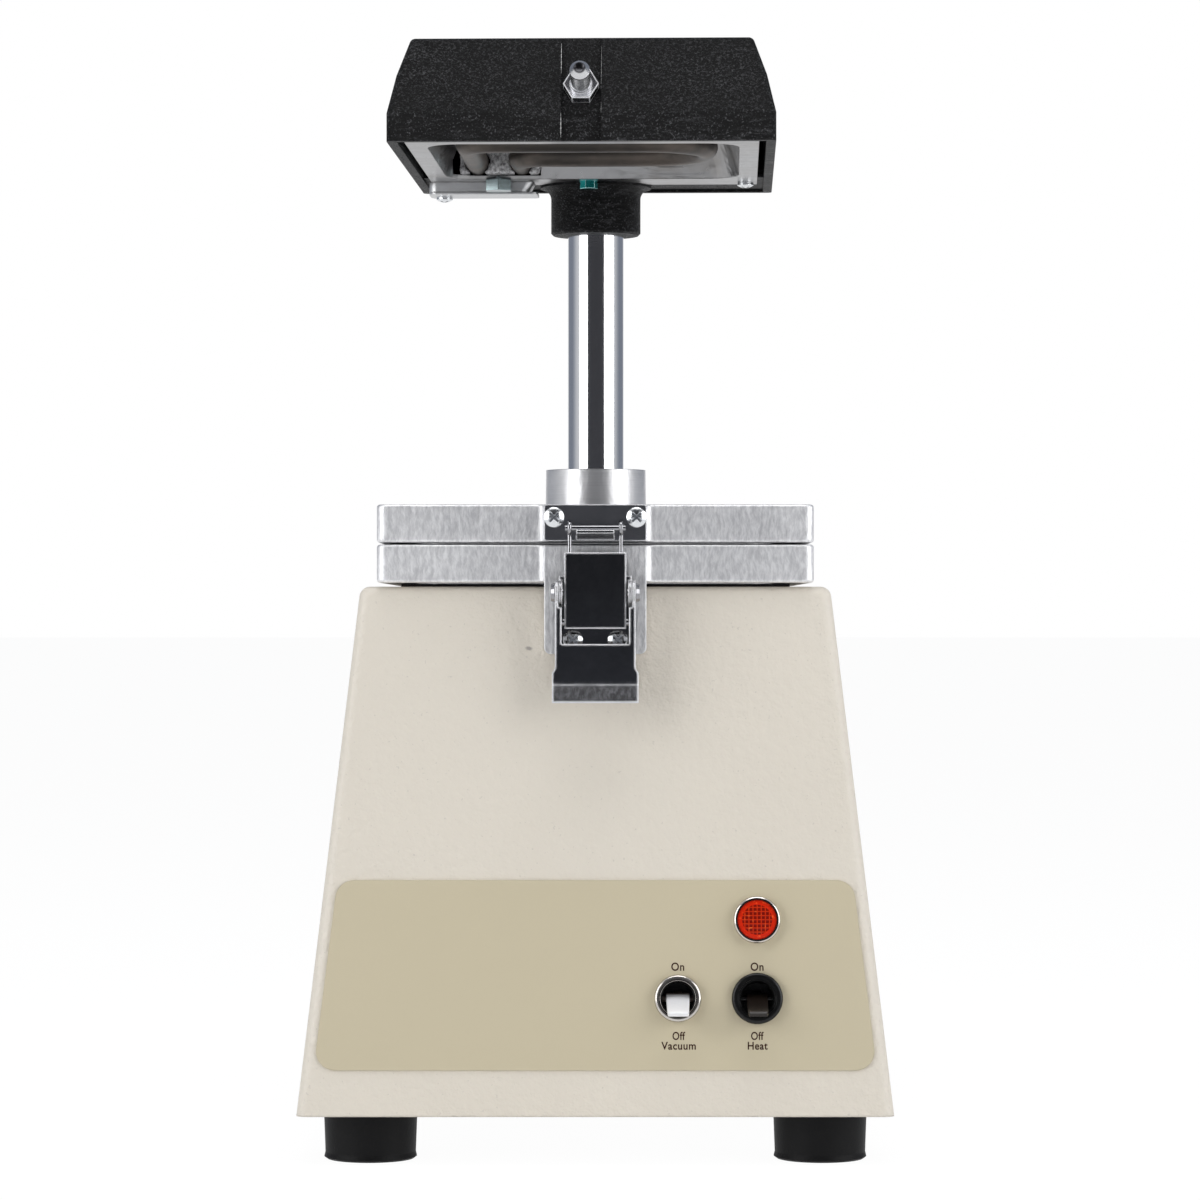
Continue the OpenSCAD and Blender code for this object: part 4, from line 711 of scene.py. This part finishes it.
def paddle_mesh(root_w, tip_w):
    bm = bmesh.new()
    middle = PADDLE_RISE + PADDLE_T / 2
    blade = []
    for share, fullness in STATIONS:
        wide = (root_w + (tip_w - root_w) * share) - (1 - fullness) * TIP_LOSS
        half_t = PADDLE_T / 2 * fullness
        blade.append(rounded_loop(bm, wide, middle - half_t, middle + half_t,
                                  CORNER * fullness, PADDLE_L * share))
    bridge(bm, blade)
    cap(bm, blade)
    tail = [rounded_loop(bm, TAIL_W, -TAIL_HALF_T, TAIL_HALF_T, TAIL_CORNER, z * MM) for z in TAIL_ENDS]
    bridge(bm, tail)
    cap(bm, tail)
    pivot = [[bm.verts.new((x * MM, PIVOT_R * math.cos(a), PIVOT_R * math.sin(a)))
              for a in (2 * math.pi * k / PIVOT_STEPS for k in range(PIVOT_STEPS))] for x in PIVOT_ENDS]
    bridge(bm, pivot)
    cap(bm, pivot)
    return bm


print("a paddle is", round(PADDLE_L / MM, 1), "mm long, in", len(STATIONS), "stations")

# %% [markdown]
# ## Two paddles, tipped to Off
# The white one switches the vacuum and the black one the heat, and each replaces its plain
# CAD block. The root and the pin are darker than the blade, as they sit in the shade of the
# bush and carry the grease. The tilt is the CAD's own, so that the joints still fit.

# %% Paddles
PADDLE_TILT = math.radians(26.5)
PIVOT_Z = -3 * MM


def paddle_plastic(blade, root, half):
    """The blade's colour, its root's, and half the width beyond which the pin shows."""
    def build(tree):
        where = tree.place()
        x, _, z = tree.split(where)
        fine = tree.noise(where, 1200, 2)
        pin = abs(x).fade(half, half + 0.0003)
        deep = z.fade(0.0006, 0.0022, 1.0, 0.0)
        face = tree.blend(fine, tuple(c * 0.94 for c in blade), blade)
        return {"Base Color": tree.blend(pin.larger(deep), face, root), "Roughness": 0.26 + fine * 0.08,
                "Normal": tree.bump(fine, 0.00003, 0.5)}
    return build


def add_paddle(name, x, root_w, tip_w, material, body, node):
    place = on_front @ Matrix.Translation((x, SWITCH_UP, PIVOT_Z)) @ Matrix.Rotation(PADDLE_TILT, 4, "X")
    piece = add_piece(name, paddle_mesh(root_w, tip_w), material, body, place, 40)
    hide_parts(node)


white_paddle = finish("white paddle", paddle_plastic((0.95, 0.95, 0.96), (0.10, 0.075, 0.06), 3.85 * MM))
dark_paddle = finish("dark paddle", paddle_plastic((0.012, 0.008, 0.006), (0.004, 0.0035, 0.0035), 3.5 * MM),
                     specular_ior_level=0.45)
add_paddle("white_switch_paddle", VACUUM_X, 7.6 * MM, 6.7 * MM, white_paddle,
           "vacuum_toggle", "vacuum_paddle")
add_paddle("black_switch_paddle", HEAT_X, 6.8 * MM, 6.2 * MM, dark_paddle,
           "heat_toggle", "heat_paddle")

# %% [markdown]
# ## The bezel of the vacuum switch
# Its outer half is bright nickel and its inner half is dark, so its finish needs the
# distance from the bezel's axis: the place is first turned into steps across and up the
# sloping front.

# %% Bezel dark inside
def bezel_dark_inside(tree):
    where = tree.place()
    x, y, z = tree.split(where)
    up = (y + BASE_D / 2) * math.sin(LEAN) + (z - FOOT_H) * math.cos(LEAN)
    out = ((x - VACUUM_X) ** 2 + (up - SWITCH_UP) ** 2) ** 0.5
    fine = tree.noise(where, 900, 3, 0.6)
    inner = out.fade(6.45 * MM, 6.75 * MM, 1.0, 0.0)
    bright = tree.blend(fine, (0.50, 0.475, 0.445), (0.62, 0.59, 0.555))
    return {"Base Color": tree.blend(inner, bright, (0.075, 0.069, 0.066)), "Metallic": 1 - inner * 0.7,
            "Roughness": 0.13 + fine * 0.08 + inner * 0.2, "Normal": tree.edge(0.0003)}


wear(finish("bezel dark inside", bezel_dark_inside), "vacuum_bezel")

# %% [markdown]
# ## The ring in its mouth
# The metal bush of the vacuum switch ends in a rolled lip inside the bezel, which shows as a
# second, thin ring. A small lathe profile makes it, resting on the bush's face.

# %% Mouth ring
MOUTH_Z = PANEL_T + 2.1 * MM

ring_bm = bmesh.new()
lathe(ring_bm, [(5.58 * MM, MOUTH_Z - 0.1 * MM), (5.6 * MM, MOUTH_Z + 0.12 * MM),
                (5.7 * MM, MOUTH_Z + 0.18 * MM), (5.8 * MM, MOUTH_Z + 0.12 * MM),
                (5.82 * MM, MOUTH_Z - 0.1 * MM), (5.58 * MM, MOUTH_Z - 0.1 * MM)])
add_piece("vacuum_mouth_ring", ring_bm, bezel_nickel, "base",
          on_front @ Matrix.Translation((VACUUM_X, SWITCH_UP, 0)), 60)

# %% [markdown]
# ## The colour of the lens
# A signal lamp's lens has square pits pressed into it, so that it glows evenly from any
# side. The colour goes from dark red in the pits to orange on the ridges between them, which
# is painted shade in the pits and a painted highlight on the ridges: the fraction of x and y
# over the pits' pitch says how near a ridge is. Brighter orange specks are painted glints.

# %% Lens red
LENS_R, PIT, PIT_DEEP, FIELD_R = 6.35 * MM, 1.3 * MM, 0.16 * MM, 4.75 * MM


def lens_glass(tree):
    where = tree.place()
    x, y, _ = tree.split(where)
    across, along = (x / PIT).fraction(), (y / PIT).fraction()
    # ridge mask: painted shade in the pits, painted highlight on the ridges
    ridge = abs(across - 0.5).larger(abs(along - 0.5)) * 2
    out = (x * x + y * y) ** 0.5
    field = out.fade(FIELD_R * 0.97, FIELD_R * 1.03, 1.0, 0.0)
    # Painted glints: specks of brighter orange.
    painted_glints = tree.noise(where, 700, 2).fade(0.55, 0.75)
    ridge_highlight = tree.blend(painted_glints, (0.66, 0.034, 0.006), (1.0, 0.17, 0.03))
    inner = tree.blend(ridge.fade(0.55, 1.0), (0.20, 0.005, 0.001), ridge_highlight)
    outer = tree.blend(painted_glints, (0.70, 0.022, 0.004), (1.0, 0.10, 0.02))
    return {"Base Color": tree.blend(field, outer, inner), "Roughness": 0.3 + painted_glints * 0.1}


lens_red = finish("lens red", lens_glass, coat_weight=0.15, coat_roughness=0.1, specular_ior_level=0.12)
print("the lens's pits are", round(PIT / MM, 2), "mm apart")

# %% [markdown]
# ## The faceted lens
# The pits are real: a grid of corners over a dished disc is pushed down into small pyramids,
# with a smooth rim turned round it. A bump alone would stay flat from the side, where the
# real lens breaks the light.

# %% Lens
LENS_SEAT, LENS_TOP, DISH = PANEL_T + 0.6 * MM, 2.5 * MM, 0.5 * MM
GRID_STEPS = 40


def lens_height(x, y):
    """Height of the lens's face above its seat."""
    r = math.hypot(x, y)
    dome = DISH * (1 - (r / LENS_R) ** 2)
    if r > FIELD_R:
        return LENS_TOP - LENS_SEAT + dome
    pit = 1 - 2 * max(abs((x / PIT) % 1 - 0.5), abs((y / PIT) % 1 - 0.5))
    return LENS_TOP - LENS_SEAT + dome - PIT_DEEP * pit


def pitted_disc(bm):
    half = PIT / 2
    grid = {}
    for i in range(-GRID_STEPS, GRID_STEPS + 1):
        for j in range(-GRID_STEPS, GRID_STEPS + 1):
            x, y = i * half / 2, j * half / 2
            if math.hypot(x, y) < LENS_R - 0.15 * MM:
                grid[i, j] = bm.verts.new((x, y, lens_height(x, y)))
    for (i, j), corner in grid.items():
        around = [corner, grid.get((i + 1, j)), grid.get((i + 1, j + 1)), grid.get((i, j + 1))]
        if all(around):
            bm.faces.new(around)


lens_bm = bmesh.new()
pitted_disc(lens_bm)
rim_top = LENS_TOP - LENS_SEAT
lathe(lens_bm, [(LENS_R, 0), (LENS_R, rim_top - 0.25 * MM), (LENS_R - 0.3 * MM, rim_top + 0.08 * MM),
                (LENS_R - 0.9 * MM, rim_top + 0.02 * MM), (LENS_R - 1.0 * MM, rim_top - 0.3 * MM)])
lens = add_piece("faceted_lens", lens_bm, lens_red, "base",
                 on_front @ Matrix.Translation((HEAT_X, LAMP_UP, LENS_SEAT)), 20)
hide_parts("lamp_lens")

# %% [markdown]
# ## The lamp's seal
# A black rubber ring fills the gap between the lens and its chromed holder. It is turned too,
# with its upper corners taken off so that it catches a thin line of light.

# %% Lamp seal
SEAL_OUT, SEAL_IN, SEAL_Z = 6.85 * MM, 6.3 * MM, PANEL_T + 2.62 * MM

seal_bm = bmesh.new()
lathe(seal_bm, [(SEAL_IN, SEAL_Z - 0.5 * MM), (SEAL_IN + 0.1 * MM, SEAL_Z),
                (SEAL_OUT - 0.1 * MM, SEAL_Z + 0.05 * MM), (SEAL_OUT, SEAL_Z - 0.1 * MM),
                (SEAL_IN, SEAL_Z - 0.5 * MM)])
add_piece("lamp_seal", seal_bm, rubber, "base",
          on_front @ Matrix.Translation((HEAT_X, LAMP_UP, 0)), 40)

# %% [markdown]
# ## The mineral fibre pad
# The element's legs leave the pan through a pad of pressed mineral fibre, which is pale,
# lumpy and has no straight edge. The CAD solid gives its place and its two holes: a copy is
# remeshed into small even faces, and each corner is moved by a smooth noise along its normal.

# %% Fibre pad
PAD_VOXEL, PAD_LUMP, LUMPS_PER_M = 0.6 * MM, 0.45 * MM, 420


def fibrous(tree):
    where = tree.place()
    lumps = tree.noise(where, 900, 4, 0.75, (1, 1, 0.6))
    # Painted shade: the colour follows the same lumps as the bump, so the dips are darker.
    return {"Base Color": tree.blend(lumps.fade(0.32, 0.62), (0.20, 0.19, 0.19), (0.86, 0.85, 0.85)),
            "Roughness": 0.8 + lumps * 0.1, "Normal": tree.bump(lumps, 0.0018, 0.9)}


def lumpy_copy(node):
    holder = bpy.data.objects.new(node + "_rough", cad[node].data.copy())
    bpy.context.scene.collection.objects.link(holder)
    remesh = holder.modifiers.new("even faces", "REMESH")
    remesh.mode, remesh.voxel_size = "VOXEL", PAD_VOXEL
    holder.modifiers.new("soft corners", "SMOOTH").iterations = 4
    mesh = bpy.data.meshes.new_from_object(holder.evaluated_get(bpy.context.evaluated_depsgraph_get()))
    bpy.data.objects.remove(holder)
    bm = bmesh.new()
    bm.from_mesh(mesh)
    bm.normal_update()
    for v in bm.verts:
        v.co += v.normal * PAD_LUMP * (noise.fractal(v.co * LUMPS_PER_M, 0.8, 2.1, 3) - 0.15)
    return bm


fibre = finish("fibre pad", fibrous)
wear(fibre, "element_pad")
pad = add_piece("fibre_pad", lumpy_copy("element_pad"), fibre, "head", Matrix(), 180)
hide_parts("element_pad")

# %% [markdown]
# ## Places on the heater head
# The head is turned 1.8 degrees on its post, as in the photograph, and its front slopes back.
# The stud leaves that slope at a right angle, so its place is the head's turn, then a step to
# its foot, then the slope's own tilt.

# %% Places on the head
POST_Y, HEAD_Z, HEAD_H, SKIRT_H, HEAD_LEAN = (v * MM for v in (71, 327.2, 34.3, 9.2, 6.9))
HEAD_BACK, HEAD_L = 20 * MM, 168.5 * MM
HEAD_FRONT = POST_Y + HEAD_BACK - HEAD_L
HEAD_SLOPE = math.atan(HEAD_LEAN / (HEAD_H - SKIRT_H))
HEAD_TURN = math.radians(-1.8)
CHANNEL_W, CHANNEL_DEEP, STUD_RISE = 13 * MM, 1 * MM, 17.3 * MM
on_head = (Matrix.Translation((0, POST_Y, 0)) @ Matrix.Rotation(HEAD_TURN, 4, "Z")
           @ Matrix.Translation((0, -POST_Y, 0)))
stud_foot = (0, HEAD_FRONT + CHANNEL_DEEP + (STUD_RISE - SKIRT_H) * math.tan(HEAD_SLOPE), HEAD_Z + STUD_RISE)
on_stud = on_head @ Matrix.Translation(stud_foot) @ Matrix.Rotation(math.radians(90) - HEAD_SLOPE, 4, "X")
print("the head's front slopes", round(math.degrees(HEAD_SLOPE), 1), "degrees")

# %% [markdown]
# ## The threaded handle stud
# The knob is gone, so the stud shows its thread and its turned point. A helix is a radius
# that depends on both the angle and the height, which gives the whole rod in one grid.

# %% Stud shape
STUD_R, NUT_T, STUD_FREE, POINT_L, POINT_R = (v * MM for v in (3.25, 4, 13.5, 2.6, 1.6))
PITCH, THREAD, FLANK, ROWS_PER_TURN = 0.8 * MM, 0.16 * MM, 1.3, 5
STUD_ROOT, SHOULDER, RUN_OUT = -3 * MM, NUT_T + STUD_FREE - POINT_L, 1.2 * MM


def threaded_stud(bm, around=40):
    rows = []
    count = int((SHOULDER - STUD_ROOT) / (PITCH / ROWS_PER_TURN))
    for k in range(count + 1):
        z = STUD_ROOT + (SHOULDER - STUD_ROOT) * k / count
        depth = THREAD * min(1, (SHOULDER - z) / RUN_OUT)
        row = []
        for i in range(around):
            turn = i / around
            tooth = abs(((z / PITCH - turn) % 1) - 0.5) * 2
            r = STUD_R - depth * max(0, 1 - FLANK * tooth)
            row.append(bm.verts.new((r * math.cos(2 * math.pi * turn), r * math.sin(2 * math.pi * turn), z)))
        rows.append(row)
    point = SHOULDER + POINT_L
    for r, z in ((STUD_R, SHOULDER + 0.1 * MM), (STUD_R - 0.35 * MM, SHOULDER + 0.5 * MM),
                 (POINT_R + 0.12 * MM, point - 0.15 * MM), (POINT_R, point),
                 (POINT_R - 0.5 * MM, point - 0.25 * MM), (0.02 * MM, point - 0.3 * MM)):
        rows.append(ring_of(bm, r, z, around))
    bridge(bm, rows)
    cap(bm, rows)


print("the stud stands", round((SHOULDER + POINT_L) / MM, 1), "mm out of the head")

# %% [markdown]
# ## Zinc in the thread
# The thread's crests keep bright zinc and its grooves are painted dark, a painted shade, so the
# finish follows the distance from the stud's axis. The small face at the very end is turned
# hollow and painted dark, and the turned point is painted darker than the thread: painted shade as well.

# %% Stud
def thread_zinc(tree):
    where = tree.place()
    x, y, z = tree.split(where)
    out = (x * x + y * y) ** 0.5
    # Painted shade: dark in the thread's grooves and on the end face, fainter over the point.
    body = z.fade(SHOULDER - 0.0002, SHOULDER + 0.0002, 1.0, 0.0)
    groove_shade = out.fade(STUD_R - THREAD * 0.9, STUD_R - THREAD * 0.2, 1.0, 0.0) * body
    face = out.fade(POINT_R + 0.0001, POINT_R + 0.0005, 1.0, 0.0) * (1 - body)
    fine = tree.noise(where, 900, 2)
    bright = tree.blend(fine, (0.80, 0.81, 0.83), (0.94, 0.95, 0.96))
    zinc_with_point_shade = tree.blend((1 - body) * 0.35, bright, (0.16, 0.16, 0.17))
    return {"Base Color": tree.blend((groove_shade * 0.75 + face).smaller(1.0), zinc_with_point_shade, (0.06, 0.06, 0.065)),
            "Roughness": 0.2 + fine * 0.1 + groove_shade * 0.15}


stud_bm = bmesh.new()
threaded_stud(stud_bm)
stud = add_piece("threaded_stud", stud_bm, finish("stud zinc", thread_zinc, metallic=1.0), "head",
                 on_stud, 35)
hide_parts("handle_stud")

# %% [markdown]
# ## Painted highlights on the channel's edges
# A shallow channel runs up the front of the casting, and its two edges catch thin lines of
# light. They are painted highlights: each edge is a hair-thin ribbon of pale metal whose width
# wanders, laid on the corner of the channel in two lengths with a gap between them.

# %% Channel edges
EDGE_STEPS = 24
CASTING_SWELL = 0.5 * MM
LEFT_SPANS = ((HEAD_Z + 22 * MM, HEAD_Z + HEAD_H - 2 * MM), (HEAD_Z + 1 * MM, HEAD_Z + 9 * MM))
RIGHT_SPANS = ((HEAD_Z + 17 * MM, HEAD_Z + HEAD_H - 3 * MM), (HEAD_Z + 9 * MM, HEAD_Z + 12.5 * MM))


def highlight_ribbon(bm, x, spans, wide):
    for z0, z1 in spans:
        rows = []
        for k in range(EDGE_STEPS + 1):
            z = z0 + (z1 - z0) * k / EDGE_STEPS
            up_slope = (z - HEAD_Z - SKIRT_H) / (HEAD_H - SKIRT_H)
            y = HEAD_FRONT + max(0, z - HEAD_Z - SKIRT_H) * math.tan(HEAD_SLOPE)
            swell = CASTING_SWELL * math.sin(math.pi * min(1, max(0, up_slope)))
            wander = 0.55 + 0.45 * math.sin(k * 2.3) * math.sin(k * 0.9)
            w = wide * wander * math.sin(math.pi * (k + 0.5) / (EDGE_STEPS + 1)) ** 0.4
            side_y, crest_y = y - swell * 0.9 - 0.03 * MM, y - swell * 0.9 - 0.10 * MM
            rows.append([bm.verts.new((x - w, side_y, z)), bm.verts.new((x, crest_y, z)),
                         bm.verts.new((x + w, side_y, z))])
        for a, b in zip(rows, rows[1:]):
            for i in (0, 1):
                bm.faces.new((a[i], a[i + 1], b[i + 1], b[i]))


# Painted highlight: a pale grey metal for the ribbons on the channel's edges.
highlight_metal = finish("rubbed metal", plated((0.60, 0.60, 0.60), 0.4, 1500, depth=0.00004), metallic=0.6)
edges_bm = bmesh.new()
highlight_ribbon(edges_bm, -CHANNEL_W / 2, LEFT_SPANS, 0.16 * MM)
highlight_ribbon(edges_bm, CHANNEL_W / 2, RIGHT_SPANS, 0.08 * MM)
add_piece("channel_edges", edges_bm, highlight_metal, "head", on_head, 60)

# %% [markdown]
# ## The end
